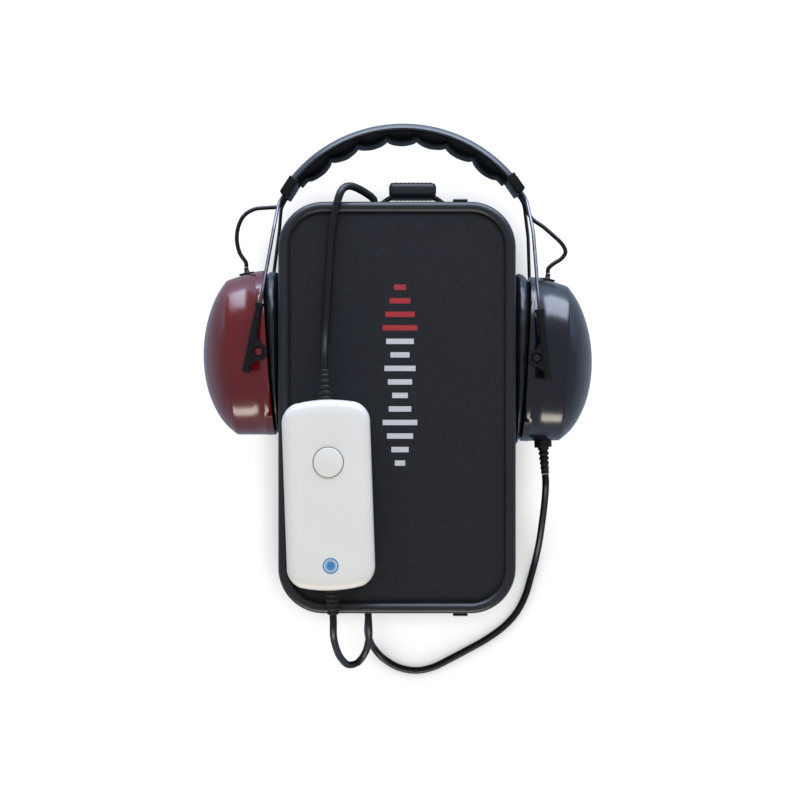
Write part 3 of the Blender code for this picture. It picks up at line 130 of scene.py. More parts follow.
def paperFloor():
    # matt white card: it glows for the camera, with a painted shadow where ambient occlusion dims the glow
    # near the object, and it glows in gloss rays as a painted reflection
    paper = bpy.data.materials.new("paperFloor")
    tree = emptyTree(paper)
    ray = addNode(tree, "ShaderNodeLightPath").outputs
    seen, gloss = ray["Is Camera Ray"], ray["Is Glossy Ray"]
    direct = addNode(tree, "ShaderNodeMath", {0: seen, 1: gloss}, operation="MAXIMUM")
    colour = addNode(tree, "ShaderNodeMix", {0: direct.outputs[0], 6: toLinear(stage["floorBounce"]),
                                             7: toLinear(stage["floorSeen"])}, data_type="RGBA")
    matt = addNode(tree, "ShaderNodeBsdfDiffuse", {"Color": colour.outputs[2]})
    # painted shadow: ambient occlusion dims the floor's glow close to the object, a halo of shade round it
    near = addNode(tree, "ShaderNodeAmbientOcclusion", {"Distance": stage["paintedShadowReach"]}, samples=16)
    spot = addNode(tree, "ShaderNodeTexCoord").outputs["Object"]
    away = addNode(tree, "ShaderNodeVectorMath", {0: spot}, operation="LENGTH")
    close, far = stage["lampReach"]      # beyond it the glow rises to white, and no horizon shows
    lift = addNode(tree, "ShaderNodeMapRange", {
        "Value": away.outputs["Value"], "From Min": close, "From Max": far, "To Min": stage["floorGlow"],
        "To Max": 1.0})
    glow = addNode(tree, "ShaderNodeMath", {0: near.outputs["AO"], 1: lift.outputs[0]}, operation="MULTIPLY")
    toEye = addNode(tree, "ShaderNodeMath", {0: seen, 1: glow.outputs[0]}, operation="MULTIPLY")
    parts = addNode(tree, "ShaderNodeSeparateXYZ", {"Vector": spot})
    close, far = stage["windowReach"]      # painted reflection: the floor glows in gloss rays only, brighter and cooler towards the window
    sheen = addNode(tree, "ShaderNodeMapRange", {
        "Value": parts.outputs["Y"], "From Min": close, "From Max": far, "To Min": stage["floorPaintedReflection"],
        "To Max": stage["windowPaintedReflection"]})
    toGloss = addNode(tree, "ShaderNodeMath", {0: gloss, 1: sheen.outputs[0]}, operation="MULTIPLY")
    strength = addNode(tree, "ShaderNodeMath", {0: toEye.outputs[0], 1: toGloss.outputs[0]}, operation="ADD")
    # the painted reflection's cool tint
    tint = addNode(tree, "ShaderNodeMix", {0: gloss, 6: toLinear("#ffffff"), 7: toLinear(stage["paintedReflectionTint"])},
                   data_type="RGBA")
    shine = addNode(tree, "ShaderNodeEmission", {"Color": tint.outputs[2], "Strength": strength.outputs[0]})
    both = addNode(tree, "ShaderNodeAddShader", {0: matt.outputs[0], 1: shine.outputs[0]})
    addNode(tree, "ShaderNodeOutputMaterial", {"Surface": both.outputs[0]})
    return paper


def makeFloor(scene):
    bm = bmesh.new()
    bmesh.ops.create_grid(bm, x_segments=1, y_segments=1, size=stage["floor"])
    mesh = bpy.data.meshes.new("floor")
    bm.to_mesh(mesh)
    bm.free()
    mesh.materials.append(paperFloor())
    floor = bpy.data.objects.new("floor", mesh)
    scene.collection.objects.link(floor)


def setStage():
    scene = bpy.context.scene
    scene.view_settings.view_transform = "Standard"
    makeCamera(scene)
    for name, lamp in lamps.items():
        makeLamp(scene, name, lamp)
    makeSky(scene)
    makeFloor(scene)
    print("stage: camera, three lamps, floor")


setStage()


# Finishes. Patterns lie on the piece's own coordinates, at sizes in real millimetres. Threads and pores are
# drawn about twice as coarse as they are, because they wouldn't show otherwise
patterns = {
    "middle": (0.3, 0.7),      # the range in which nearly all of a noise lies
    "cloud": 30.0, "cloudShare": 0.5,      # slow drifts of a moulded colour
    "smear": 4.0, "smearSwing": 0.15,      # handling marks that vary the gloss
    "hide": 9.0, "pores": 0.9, "poreDepth": 0.05,      # a skin's drifts of colour and its pores
    "scratches": 0.8, "fluff": 2.5,      # fine marks on metal, and loose fibres, these counted in threads
}


def newFinish(name, colour, roughness, sockets):
    material = bpy.data.materials.new(name)
    material.use_nodes = True
    tree = material.node_tree
    shader = tree.nodes["Principled BSDF"]
    shader.inputs["Base Color"].default_value = toLinear(colour)
    shader.inputs["Roughness"].default_value = roughness
    for socket, value in (sockets or {}).items():
        shader.inputs[socket].default_value = value
    return material, tree, shader, addNode(tree, "ShaderNodeTexCoord").outputs


def wovenFinish(name, deep, pale, thread, roughness, depth, sockets=None):
    material, tree, shader, spot = newFinish(name, deep, roughness, sockets)
    laid = addNode(tree, "ShaderNodeMapping", {"Vector": spot["UV"],
                                               "Scale": (1000 / thread,) * 3}).outputs[0]
    parts = addNode(tree, "ShaderNodeSeparateXYZ", {0: laid})
    threads = []
    for n in (0, 1):      # each thread's top is half a sine wave
        turn = addNode(tree, "ShaderNodeMath", {0: parts.outputs[n], 1: math.pi}, operation="MULTIPLY")
        wave = addNode(tree, "ShaderNodeMath", {0: turn.outputs[0]}, operation="SINE")
        threads.append(addNode(tree, "ShaderNodeMath", {0: wave.outputs[0]}, operation="ABSOLUTE").outputs[0])
    over = addNode(tree, "ShaderNodeTexChecker", {"Vector": laid, "Scale": 1.0})
    height = addNode(tree, "ShaderNodeMix", {0: over.outputs["Fac"], 2: threads[0], 3: threads[1]}).outputs[0]
    fluff = addNode(tree, "ShaderNodeTexNoise", {"Vector": spot["Object"], "Detail": 3.0,
                                                 "Scale": 1000 / (thread * patterns["fluff"])})
    # pale only where the threads stand high: random flecks, and painted shade in the hollows between threads
    fleckAndHollowShade = addNode(tree, "ShaderNodeMath", {0: height, 1: fluff.outputs["Fac"]}, operation="MULTIPLY")
    colour = addNode(tree, "ShaderNodeMix", {0: fleckAndHollowShade.outputs[0], 6: toLinear(deep), 7: toLinear(pale)},
                     data_type="RGBA")
    tree.links.new(colour.outputs[2], shader.inputs["Base Color"])
    bump = addNode(tree, "ShaderNodeBump", {"Height": height, "Distance": depth / 1000, "Strength": 1.0})
    tree.links.new(bump.outputs[0], shader.inputs["Normal"])
    return material


def mouldedFinish(name, fresh, worn, roughness, grit, depth, sockets=None):
    material, tree, shader, spot = newFinish(name, fresh, roughness, sockets)
    low, high = patterns["middle"]
    clouds, smears, pits = [
        addNode(tree, "ShaderNodeTexNoise", {"Vector": spot["Object"], "Scale": 1000 / size,
                                             "Detail": detail}).outputs["Fac"]
        for size, detail in ((patterns["cloud"], 4.0), (patterns["smear"], 6.0), (grit, 2.0))]
    share = addNode(tree, "ShaderNodeMapRange", {"Value": clouds, "From Min": low, "From Max": high,
                                                 "To Min": 0.0, "To Max": patterns["cloudShare"]})
    colour = addNode(tree, "ShaderNodeMix", {0: share.outputs[0], 6: toLinear(fresh), 7: toLinear(worn)},
                     data_type="RGBA")
    tree.links.new(colour.outputs[2], shader.inputs["Base Color"])
    dulled = addNode(tree, "ShaderNodeMapRange", {
        "Value": smears, "From Min": low, "From Max": high,
        "To Min": roughness * (1 - patterns["smearSwing"]),
        "To Max": roughness * (1 + patterns["smearSwing"])})
    tree.links.new(dulled.outputs[0], shader.inputs["Roughness"])
    bump = addNode(tree, "ShaderNodeBump", {"Height": pits, "Distance": depth / 1000, "Strength": 1.0})
    tree.links.new(bump.outputs[0], shader.inputs["Normal"])
    return material


def leatherFinish(name, deep, pale, roughness, sockets):
    material, tree, shader, spot = newFinish(name, deep, roughness, sockets)
    low, high = patterns["middle"]
    hide = addNode(tree, "ShaderNodeTexNoise", {"Vector": spot["Object"], "Detail": 3.0,
                                                "Scale": 1000 / patterns["hide"]})
    share = addNode(tree, "ShaderNodeMapRange", {"Value": hide.outputs["Fac"], "From Min": low,
                                                 "From Max": high, "To Min": 0.0, "To Max": 1.0})
    colour = addNode(tree, "ShaderNodeMix", {0: share.outputs[0], 6: toLinear(deep), 7: toLinear(pale)},
                     data_type="RGBA")
    tree.links.new(colour.outputs[2], shader.inputs["Base Color"])
    pores = addNode(tree, "ShaderNodeTexVoronoi", {"Vector": spot["Object"],
                                                   "Scale": 1000 / patterns["pores"]})
    bump = addNode(tree, "ShaderNodeBump", {"Height": pores.outputs["Distance"], "Strength": 1.0,
                                            "Distance": patterns["poreDepth"] / 1000})
    tree.links.new(bump.outputs[0], shader.inputs["Normal"])
    return material


def metalFinish(name, colour, roughness):
    material, tree, shader, spot = newFinish(name, colour, roughness, {"Metallic": 1.0})
    low, high = patterns["middle"]
    marks = addNode(tree, "ShaderNodeTexNoise", {"Vector": spot["Object"], "Detail": 4.0,
                                                 "Scale": 1000 / patterns["scratches"]})
    dulled = addNode(tree, "ShaderNodeMapRange", {
        "Value": marks.outputs["Fac"], "From Min": low, "From Max": high,
        "To Min": roughness * (1 - patterns["smearSwing"]),
        "To Max": roughness * (1 + patterns["smearSwing"])})
    tree.links.new(dulled.outputs[0], shader.inputs["Roughness"])
    return material


# Woven: name, two colours, thread, roughness, relief. Moulded: name, two colours, roughness, grit, relief
finishes = {
    # 600 denier polyester: dull black with pale flecks, the hollows between threads darkened by painted shade
    "canvas": wovenFinish("wovenPolyester", "#0a0b0e", "#282b31", 0.8, 0.8, 0.12,
                          {"Specular IOR Level": 0.35}),
    # polyester binding tape rolled round a cord: smoother, with a low sheen
    "binding": wovenFinish("polyesterBinding", "#0c0e11", "#23272d", 0.7, 0.34, 0.04,
                           {"Sheen Weight": 0.05, "Coat Weight": 0.2, "Coat Roughness": 0.35}),
    # knitted and brushed: a soft dark grey nap that lights up at its edges
    "lining": wovenFinish("brushedTricot", "#1c1d20", "#3a3c42", 0.9, 0.9, 0.05, {"Sheen Weight": 0.3}),
    # thick nylon ribs: coarse and slightly shiny
    "webbing": wovenFinish("nylonWebbing", "#121316", "#2b2e34", 1.1, 0.55, 0.15),
    # fine flat tape: dull, nearly even
    "zipTape": wovenFinish("zipTape", "#111215", "#282a30", 0.6, 0.7, 0.06),
    # moulded coils and teeth: small clean highlights
    "nylon": mouldedFinish("nylonTeeth", "#15161a", "#1d1f24", 0.35, 1.0, 0.01),
    # warm white, spark-eroded mould: an even matt grain with soft highlights
    "whiteAbs": mouldedFinish("whiteAbs", "#d6d5d0", "#cfcec8", 0.38, 0.35, 0.012, {"IOR": 1.53}),
    # deep red and navy, from a polished mould: broad window reflections over a dark body
    "redAbs": mouldedFinish("redAbs", "#5f0810", "#50060d", 0.23, 1.4, 0.004,
                            {"IOR": 1.54, "Coat Weight": 0.6, "Coat Roughness": 0.17}),
    "navyAbs": mouldedFinish("navyAbs", "#080a18", "#060812", 0.23, 1.4, 0.004,
                             {"IOR": 1.54, "Coat Weight": 0.6, "Coat Roughness": 0.17}),
    # moulded acetal: a dull black that hardly mirrors
    "acetal": mouldedFinish("blackAcetal", "#0d0e0f", "#151617", 0.5, 0.6, 0.01, {"Specular IOR Level": 0.2}),
    # extruded cord jacket: a soft line of light along it
    "pvc": mouldedFinish("blackPvc", "#090b0e", "#0f1215", 0.36, 1.1, 0.012),
    # moulded boots and grommets: matt, with blurred highlights
    "rubber": mouldedFinish("blackRubber", "#0c0e10", "#131518", 0.5, 0.8, 0.02),
    # green lacquer over the board: thin and even
    "board": mouldedFinish("solderMask", "#0d4a2a", "#0a3d22", 0.35, 2.0, 0.01),
    # pad-printed ink: flat blue, level with the shell
    "blueInk": mouldedFinish("padPrintInk", "#2f77ad", "#3b83b8", 0.42, 0.2, 0.002),
    # twisted sewing thread: dull and a little paler than what it holds
    "thread": mouldedFinish("polyesterThread", "#24272c", "#31353b", 0.6, 0.15, 0.02),
    # cut open foam: dull, and rough all over
    "foam": mouldedFinish("openCellFoam", "#17181a", "#232427", 0.95, 0.7, 0.25),
    # embossed and lacquered: fine pores under a cool shine
    "leatherette": leatherFinish("blackLeatherette", "#12151a", "#1c2028", 0.42,
                                 {"Coat Weight": 0.75, "Coat Roughness": 0.25}),
    # the ear cushions' skin: smoother, with a wet look along its folds
    "vinyl": leatherFinish("glossyVinyl", "#0c0e12", "#14171c", 0.3,
                           {"Coat Weight": 0.4, "Coat Roughness": 0.28}),
    # the headband pad's skin: the same without its shine
    "padVinyl": leatherFinish("mattVinyl", "#07080a", "#0d0e11", 0.6, {"Specular IOR Level": 0.12}),
    # cold-drawn wire and strip: bright, streaked finely
    "steel": metalFinish("drawnSteel", "#717074", 0.34),
    # plated: pale and clean on the screws and the plug, dark on the zip
    "nickel": metalFinish("nickelPlate", "#b5b4b0", 0.24),
    "tin": metalFinish("tinnedSteel", "#cccccf", 0.28),
    "gunmetal": metalFinish("blackNickel", "#4a4b50", 0.3),
    # screen-printed ink on the weave: the threads show through it
    "redInk": wovenFinish("redScreenPrint", "#8e1a22", "#b3323a", 0.8, 0.6, 0.06),
    "paleInk": wovenFinish("whiteScreenPrint", "#a9abae", "#d6d8da", 0.8, 0.6, 0.06),
}
print("finishes:", len(finishes))


# Making pieces
upright = Vector((0.0, 0.0, 1.0))


def boxUv(mesh):      # a weave is laid on each face from the side that the face looks to most, in metres
    layer = mesh.uv_layers[0] if mesh.uv_layers else mesh.uv_layers.new(name="threads")
    for face in mesh.polygons:
        size = [abs(part) for part in face.normal]
        away = size.index(max(size))
        first, second = [n for n in (0, 1, 2) if n != away]
        for loop in face.loop_indices:
            place = mesh.vertices[mesh.loops[loop].vertex_index].co
            layer.data[loop].uv = (place[first], place[second])


def settle(mesh, name, finish, body, replaced=(), sharp=35.0):
    mesh.name = name
    mesh.shade_smooth()
    mesh.set_sharp_from_angle(angle=math.radians(sharp))
    mesh.materials.clear()
    mesh.materials.append(finishes[finish])
    boxUv(mesh)
    piece = bpy.data.objects.new(name, mesh)
    bpy.context.scene.collection.objects.link(piece)
    if isinstance(body, str):
        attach(piece, body)
    else:
        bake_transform(piece)
    if replaced:
        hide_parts(*([replaced] if isinstance(replaced, str) else replaced))
    return piece


def dress(finish, *nodes):
    for node in nodes:
        for slot in bpy.data.objects[node].material_slots:
            slot.material = finishes[finish]


def meshOf(bm, outward=True):
    bmesh.ops.remove_doubles(bm, verts=bm.verts, dist=1e-6)
    if outward:
        bmesh.ops.recalc_face_normals(bm, faces=bm.faces)
    mesh = bpy.data.meshes.new("piece")
    bm.to_mesh(mesh)
    bm.free()
    return mesh


def drawn(draw, *values):
    bm = bmesh.new()
    draw(bm, *values)
    return meshOf(bm)


def tubeMesh(points, radius, resolution, cyclic=False, radii=None):
    curve = bpy.data.curves.new("tube", "CURVE")
    curve.dimensions = "3D"
    curve.bevel_depth = radius
    curve.bevel_resolution = resolution
    curve.use_fill_caps = not cyclic
    spline = curve.splines.new("POLY")
    spline.points.add(len(points) - 1)
    spline.use_cyclic_u = cyclic
    for n, (point, place) in enumerate(zip(spline.points, points)):
        point.co = (*place, 1.0)
        point.radius = radii[n] if radii else 1.0
    obj = bpy.data.objects.new("tube", curve)
    mesh = bpy.data.meshes.new_from_object(obj)
    bpy.data.objects.remove(obj)
    return mesh


def block(bm, matrix, bevel, segments):
    verts = bmesh.ops.create_cube(bm, size=1.0, matrix=matrix)["verts"]
    if bevel:
        bmesh.ops.bevel(bm, geom=list({edge for vert in verts for edge in vert.link_edges}), offset=bevel,
                        segments=segments, profile=0.5, affect="EDGES", material=-1)


def slab(bm, low, high, bevel=0.0, segments=3):
    low, high = Vector(low), Vector(high)
    block(bm, Matrix.LocRotScale((high + low) / 2, None, high - low), bevel, segments)


def cutAcross(bm, axis, least, cuts):      # divides the edges that run along an axis
    edges = [edge for edge in bm.edges if abs(edge.verts[0].co[axis] - edge.verts[1].co[axis]) > least]
    bmesh.ops.subdivide_edges(bm, edges=edges, cuts=cuts, use_grid_fill=True)


def raised(bm, made, height):
    verts = [part for part in made if isinstance(part, bmesh.types.BMVert)]
    bmesh.ops.translate(bm, vec=(0.0, 0.0, height), verts=verts)


def turned(bm, profile, place, axis, steps):
    turn = Matrix.LocRotScale(Vector(place), Vector(axis).to_track_quat("Z", "Y"), None)
    verts = [bm.verts.new(turn @ Vector((radius, 0.0, along))) for radius, along in profile]
    edges = [bm.edges.new(pair) for pair in zip(verts, verts[1:])]
    bmesh.ops.spin(bm, geom=verts + edges, cent=Vector(place), axis=Vector(axis).normalized(),
                   angle=2 * math.pi, steps=steps, use_merge=True)
    bmesh.ops.remove_doubles(bm, verts=bm.verts, dist=1e-6)


def rod(bm, radius, low, high, place, axis, steps):
    turned(bm, [(0.0, low), (radius, low), (radius, high), (0.0, high)], place, axis, steps)


def loftRings(bm, rings, joined=False):      # made face by face: bridge_loops twists such rings
    loops = [[bm.verts.new(point) for point in ring] for ring in rings]
    for low, high in list(zip(loops, loops[1:])) + ([(loops[-1], loops[0])] if joined else []):
        for corners in zip(low, low[1:] + low[:1], high[1:] + high[:1], high):
            bm.faces.new(corners)
    if not joined:
        bm.faces.new(loops[0][::-1])
        bm.faces.new(loops[-1])


def carved(mesh, *steps):
    obj = bpy.data.objects.new("carved", mesh)
    bpy.context.scene.collection.objects.link(obj)
    others = []
    for operation, other in steps:
        tool = bpy.data.objects.new("tool", other)
        bpy.context.scene.collection.objects.link(tool)
        modifier = obj.modifiers.new(operation, "BOOLEAN")
        modifier.operation, modifier.solver, modifier.object = operation, "EXACT", tool
        others.append(tool)
    made = bpy.data.meshes.new_from_object(obj.evaluated_get(bpy.context.evaluated_depsgraph_get()))
    for gone in [obj] + others:
        bpy.data.objects.remove(gone)
    return made


def softly(point, size, seed):
    return noise.noise(Vector(point) / size + Vector((seed, 0.0, 0.0)))


def between(a, b, low, high, t):
    return ((high - t) * a + (t - low) * b) / (high - low)


def smoothRoute(points, spacing):      # one curve through all the points, without loops or overshoot
    route = [Vector(point) for point in points]
    route = [2 * route[0] - route[1]] + route + [2 * route[-1] - route[-2]]
    made = []
    for a, b, c, d in zip(route, route[1:], route[2:], route[3:]):
        t1 = math.sqrt((b - a).length)
        t2 = t1 + math.sqrt((c - b).length)
        t3 = t2 + math.sqrt((d - c).length)
        count = max(1, round((c - b).length / spacing))
        for n in range(count):
            t = t1 + (t2 - t1) * n / count
            ab, bc, cd = between(a, b, 0.0, t1, t), between(b, c, t1, t2, t), between(c, d, t2, t3, t)
            made.append(between(between(ab, bc, 0.0, t2, t), between(bc, cd, t1, t3, t), t1, t2, t))
    made.append(route[-2])
    return made


def roundedOutline(halfX, halfY, radius, steps, counts):
    points = []
    for quarter, (signX, signY) in enumerate(((1, 1), (-1, 1), (-1, -1), (1, -1))):
        for n in range(steps + 1):
            angle = math.pi / 2 * (quarter + n / steps)
            points.append(Vector((signX * (halfX - radius) + radius * math.cos(angle),
                                  signY * (halfY - radius) + radius * math.sin(angle), 0.0)))
        start = points[-1]
        nextX, nextY = ((-1, 1), (-1, -1), (1, -1), (1, 1))[quarter]
        along = quarter % 2      # 0 along the short ends, 1 along the long sides
        end = Vector((start.x, nextY * (halfY - radius), 0.0))
        if not along:
            end = Vector((nextX * (halfX - radius), start.y, 0.0))
        points += [start.lerp(end, n / counts[along]) for n in range(1, counts[along])]
    return points


# Where the handheld unit lies, and the frames of the two ear cups
unit = {
    "x": -0.043, "y": -0.0547, "turn": math.radians(2.04), "low": 0.0982, "split": 0.1080, "top": 0.1230,
    "width": 0.0552, "length": 0.1194, "rise": 0.0044, "corner": 0.0095, "reliefHeight": 0.0108,
}
unitPlace = Matrix.Translation((unit["x"], unit["y"], 0.0)) @ Matrix.Rotation(unit["turn"], 4, "Z")
reliefZ = unit["low"] + unit["reliefHeight"]
reliefs = {
    "usb": {"way": 1.0, "length": 0.0188, "radius": 0.0043},
    "lead": {"way": -1.0, "length": 0.0157, "radius": 0.0050},
    "cup": {"depth": 0.015, "lean": 0.13, "length": 0.0205, "radius": 0.0036, "collar": 0.0057,
            "collarHeight": 0.003, "sink": 1.2, "collarEdge": 0.95},
}
headset = {
    "z": 0.0495, "cupHeight": 0.108, "cupBreadth": 0.087, "cupDepth": 0.0442, "pinDepth": 0.0051,
    "clipLength": 0.0135, "sleeveAlong": 0.0306, "sleeveOff": 0.0054, "sleeveHeight": 0.0463,
    "grommetDepth": 0.012, "grommetRadius": 0.0053, "grommetHeight": 0.0026,
}
sides = {
    "red": {
        "out": -1.0, "pivot": (-0.0882, 0.0356), "tilt": math.radians(4.0), "wire": math.radians(11.8),
        "clip": (-0.0664, 0.1497), "clipTurn": math.radians(32.3), "bend": (-0.0790, 0.1180),
        "cross": ((-0.0775, 0.1322), (-0.0855, 0.1312), (-0.0940, 0.1302), (-0.1005, 0.1262),
                  (-0.1043, 0.1191), (-0.1054, 0.1105), (-0.1035, 0.1015)),
    },
    "blue": {
        "out": 1.0, "pivot": (0.0890, 0.0315), "tilt": math.radians(3.2), "wire": math.radians(6.7),
        "clip": (0.0729, 0.1516), "clipTurn": math.radians(34.9), "bend": (0.0878, 0.1137),
        "cross": ((0.0845, 0.1315), (0.0888, 0.1239), (0.0958, 0.1189), (0.1029, 0.1128),
                  (0.1085, 0.1073), (0.1108, 0.1020), (0.1078, 0.0975), (0.1030, 0.0945)),
    },
}
for side in sides.values():
    out, tilt, wire, clip = side["out"], side["tilt"], side["wire"], side["clipTurn"]
    side["up"] = Vector((out * math.sin(tilt), math.cos(tilt), 0.0))
    side["away"] = Vector((out * math.cos(tilt), -math.sin(tilt), 0.0))
    side["down"] = Vector((out * math.sin(wire), -math.cos(wire), 0.0))
    side["off"] = Vector((out * math.cos(wire), math.sin(wire), 0.0))
    side["fall"] = Vector((out * math.sin(clip), -math.cos(clip), 0.0))
    side["pin"] = Vector((*side["pivot"], headset["z"]))
    side["mouth"] = side["pin"] - side["away"] * headset["pinDepth"]
    side["sleeve"] = side["pin"] - side["down"] * headset["sleeveAlong"] + side["off"] * headset["sleeveOff"]
    side["clipTop"] = Vector((*side["clip"], headset["z"]))
    side["clipEnd"] = side["clipTop"] + side["fall"] * headset["clipLength"]
    side["bendAt"] = Vector((*side["bend"], headset["z"]))
    side["grommet"] = (side["mouth"] + side["away"] * headset["grommetDepth"]
                       + side["up"] * (headset["cupHeight"] / 2 + hair))
cupReliefFoot = (sides["blue"]["mouth"] + sides["blue"]["away"] * reliefs["cup"]["depth"]
                 - sides["blue"]["up"] * (headset["cupHeight"] / 2 + hair))
cupReliefWay = (sides["blue"]["away"] * reliefs["cup"]["lean"] - sides["blue"]["up"]).normalized()


# Cords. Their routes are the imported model's own, in metres
cords = {
    "usb": {"diameter": 0.005, "turns": 8.25, "coilRadius": 0.0412, "coilY": 0.062, "start": math.pi / 2,
            "way": -1.0, "cuts": (0.102, 0.046)},
    "lead": {"diameter": 0.0046, "turns": 5.75, "coilRadius": 0.031, "coilY": -0.062, "start": -math.pi / 2,
             "way": 1.0, "cuts": (0.040, 0.066), "cupCuts": (0.0302, 0.0302, 0.0302, 0.033)},
    "cross": {"diameter": 0.0027, "cuts": (0.0302, 0.0302), "spacing": 0.002},
    "floor": 0.0065, "tie": 0.0012, "turnStep": 1.12, "layerStep": 1.1, "coilPoints": 24, "spacing": 0.004,
    "plug": (0.0515, 0.036), "plugHeight": 0.0082, "roundness": 4, "sharp": 60.0,
}
usbRoute = [
    (-0.0458, 0.0370, 0.1065), (-0.0455, 0.0475, 0.1025), (-0.0446, 0.0600, 0.1008),
    (-0.0438, 0.0740, 0.1007), (-0.0427, 0.0930, 0.1007), (-0.0412, 0.1120, 0.1009),
    (-0.0392, 0.1240, 0.1011), (-0.0372, 0.1330, 0.1008), (-0.0345, 0.1390, 0.0985),
    (-0.0305, 0.1412, 0.0945), (-0.0255, 0.1402, 0.0900), (-0.0195, 0.1372, 0.0852),
    (-0.0150, 0.1337, 0.0828), (-0.0141, 0.1295, 0.0822), (-0.0141, 0.1255, 0.0808),
    (-0.0145, 0.1232, 0.0750), (-0.0160, 0.1225, 0.0600), (-0.0190, 0.1222, 0.0400),
    (-0.0225, 0.1210, 0.0240), (-0.0222, 0.1165, 0.0145), (-0.0155, 0.1085, 0.0112),
]
unitLeadRoute = [
    (-0.0402, -0.1440, 0.1052), (-0.0388, -0.1530, 0.0950), (-0.0358, -0.1618, 0.0800),
    (-0.0310, -0.1672, 0.0680), (-0.0255, -0.1662, 0.0630), (-0.0210, -0.1600, 0.0650),
    (-0.0186, -0.1520, 0.0720), (-0.0180, -0.1440, 0.0792), (-0.0183, -0.1370, 0.0821),
    (-0.0186, -0.1310, 0.0825), (-0.0180, -0.1264, 0.0817), (-0.0156, -0.1236, 0.0785),
    (-0.0140, -0.1228, 0.0600), (-0.0160, -0.1225, 0.0380), (-0.0195, -0.1205, 0.0210),
    (-0.0180, -0.1130, 0.0125), (-0.0115, -0.0990, 0.0110),
]
cupLeadRoute = [
    (-0.0325, -0.0790, 0.0160), (-0.0322, -0.0940, 0.0150), (-0.0300, -0.1090, 0.0165),
    (-0.0268, -0.1190, 0.0250), (-0.0245, -0.1222, 0.0400), (-0.0242, -0.1226, 0.0580),
    (-0.0222, -0.1226, 0.0700), (-0.0195, -0.1258, 0.0762), (-0.0186, -0.1310, 0.0772),
    (-0.0187, -0.1368, 0.0752), (-0.0192, -0.1430, 0.0660), (-0.0192, -0.1495, 0.0460),
    (-0.0180, -0.1565, 0.0250), (-0.0155, -0.1630, 0.0095), (-0.0100, -0.1700, 0.0035),
    (0.0005, -0.1765, 0.0028), (0.0130, -0.1788, 0.0028), (0.0244, -0.1765, 0.0028),
    (0.0361, -0.1708, 0.0028), (0.0478, -0.1646, 0.0028), (0.0602, -0.1577, 0.0028),
    (0.0726, -0.1487, 0.0028), (0.0812, -0.1391, 0.0028), (0.0871, -0.1274, 0.0029),
    (0.0905, -0.1157, 0.0035), (0.0936, -0.1033, 0.0065), (0.0958, -0.0900, 0.0140),
    (0.0970, -0.0770, 0.0240), (0.0976, -0.0660, 0.0350), (0.0978, -0.0570, 0.0440),
]


def coilLine(cord):
    count = round(cord["turns"] * cords["coilPoints"])
    climb = cords["coilPoints"] / 2
    low = cords["floor"] + cords["tie"] + 2 * hair + cord["diameter"] / 2
    points = []
    for n in range(count + 1):
        inward = min(n, count - n) / cords["coilPoints"]
        radius = cord["coilRadius"] - cord["diameter"] * cords["turnStep"] * inward
        rise = min(max((n - count / 2 + climb / 2) / climb, 0.0), 1.0)
        angle = cord["start"] + cord["way"] * 2 * math.pi * n / cords["coilPoints"]
        points.append(Vector((radius * math.cos(angle), cord["coilY"] + radius * math.sin(angle),
                              low + rise * cord["diameter"] * cords["layerStep"])))
    return points


def straightOn(before, end, diameter):
    way = (end - before).normalized()
    return [end + way * hair, end + way * (hair + diameter)]


def fromUnit(relief, cord):
    far = unit["length"] / 2 + 2 * hair + relief["length"]
    reaches = (far, far + cord["diameter"])
    return [unitPlace @ Vector((0.0, relief["way"] * reach, reliefZ)) for reach in reaches]


def cutAt(points, lengths):
    stretches, left, run = [[points[0]]], list(lengths), 0.0
    for before, here in zip(points, points[1:]):
        stretches[-1].append(here)
        run += (here - before).length
        if left and run >= left[0]:
            stretches.append([here])
            run = 0.0
            left.pop(0)
    return stretches


def cordPiece(name, points, cord, body, replaced):
    if not isinstance(body, str):      # a stretch that crosses a joint gets its bodies and end points in a tuple, which settle leaves unused: the stretch stays where it is drawn
        body = (*body, points[0], points[-1])
    piece = settle(tubeMesh(points, cord["diameter"] / 2, cords["roundness"]), name, "pvc", body,
                   replaced, cords["sharp"])


def makeUsbCord():
    usb = cords["usb"]
    coil = coilLine(usb)
    plugX, plugY = cords["plug"]
    straight = Vector((0.0, usb["diameter"], 0.0))
    plugEnd = Vector((plugX, plugY + hair, cords["floor"] + hair + cords["plugHeight"] / 2))
    tail = smoothRoute([coil[-1], coil[-1] - straight, plugEnd + 2 * straight, plugEnd + straight, plugEnd],
                       usb["diameter"])[1:]
    toCoil = straightOn(coil[1], coil[0], usb["diameter"])[::-1]
    way = smoothRoute(fromUnit(reliefs["usb"], usb) + usbRoute + toCoil, cords["spacing"])
    onLid, overEdge, inside = cutAt(way, usb["cuts"])
    cordPiece("usbCordOnLid", onLid, usb, ("unit", "lid"), "usb_cord_run")
    cordPiece("usbCordOverEdge", overEdge, usb, ("lid", "case"), "usb_cord_run")
    cordPiece("usbCord", inside + coil[1:] + tail, usb, "case", ("usb_cord_run", "usb_cord_coil"))


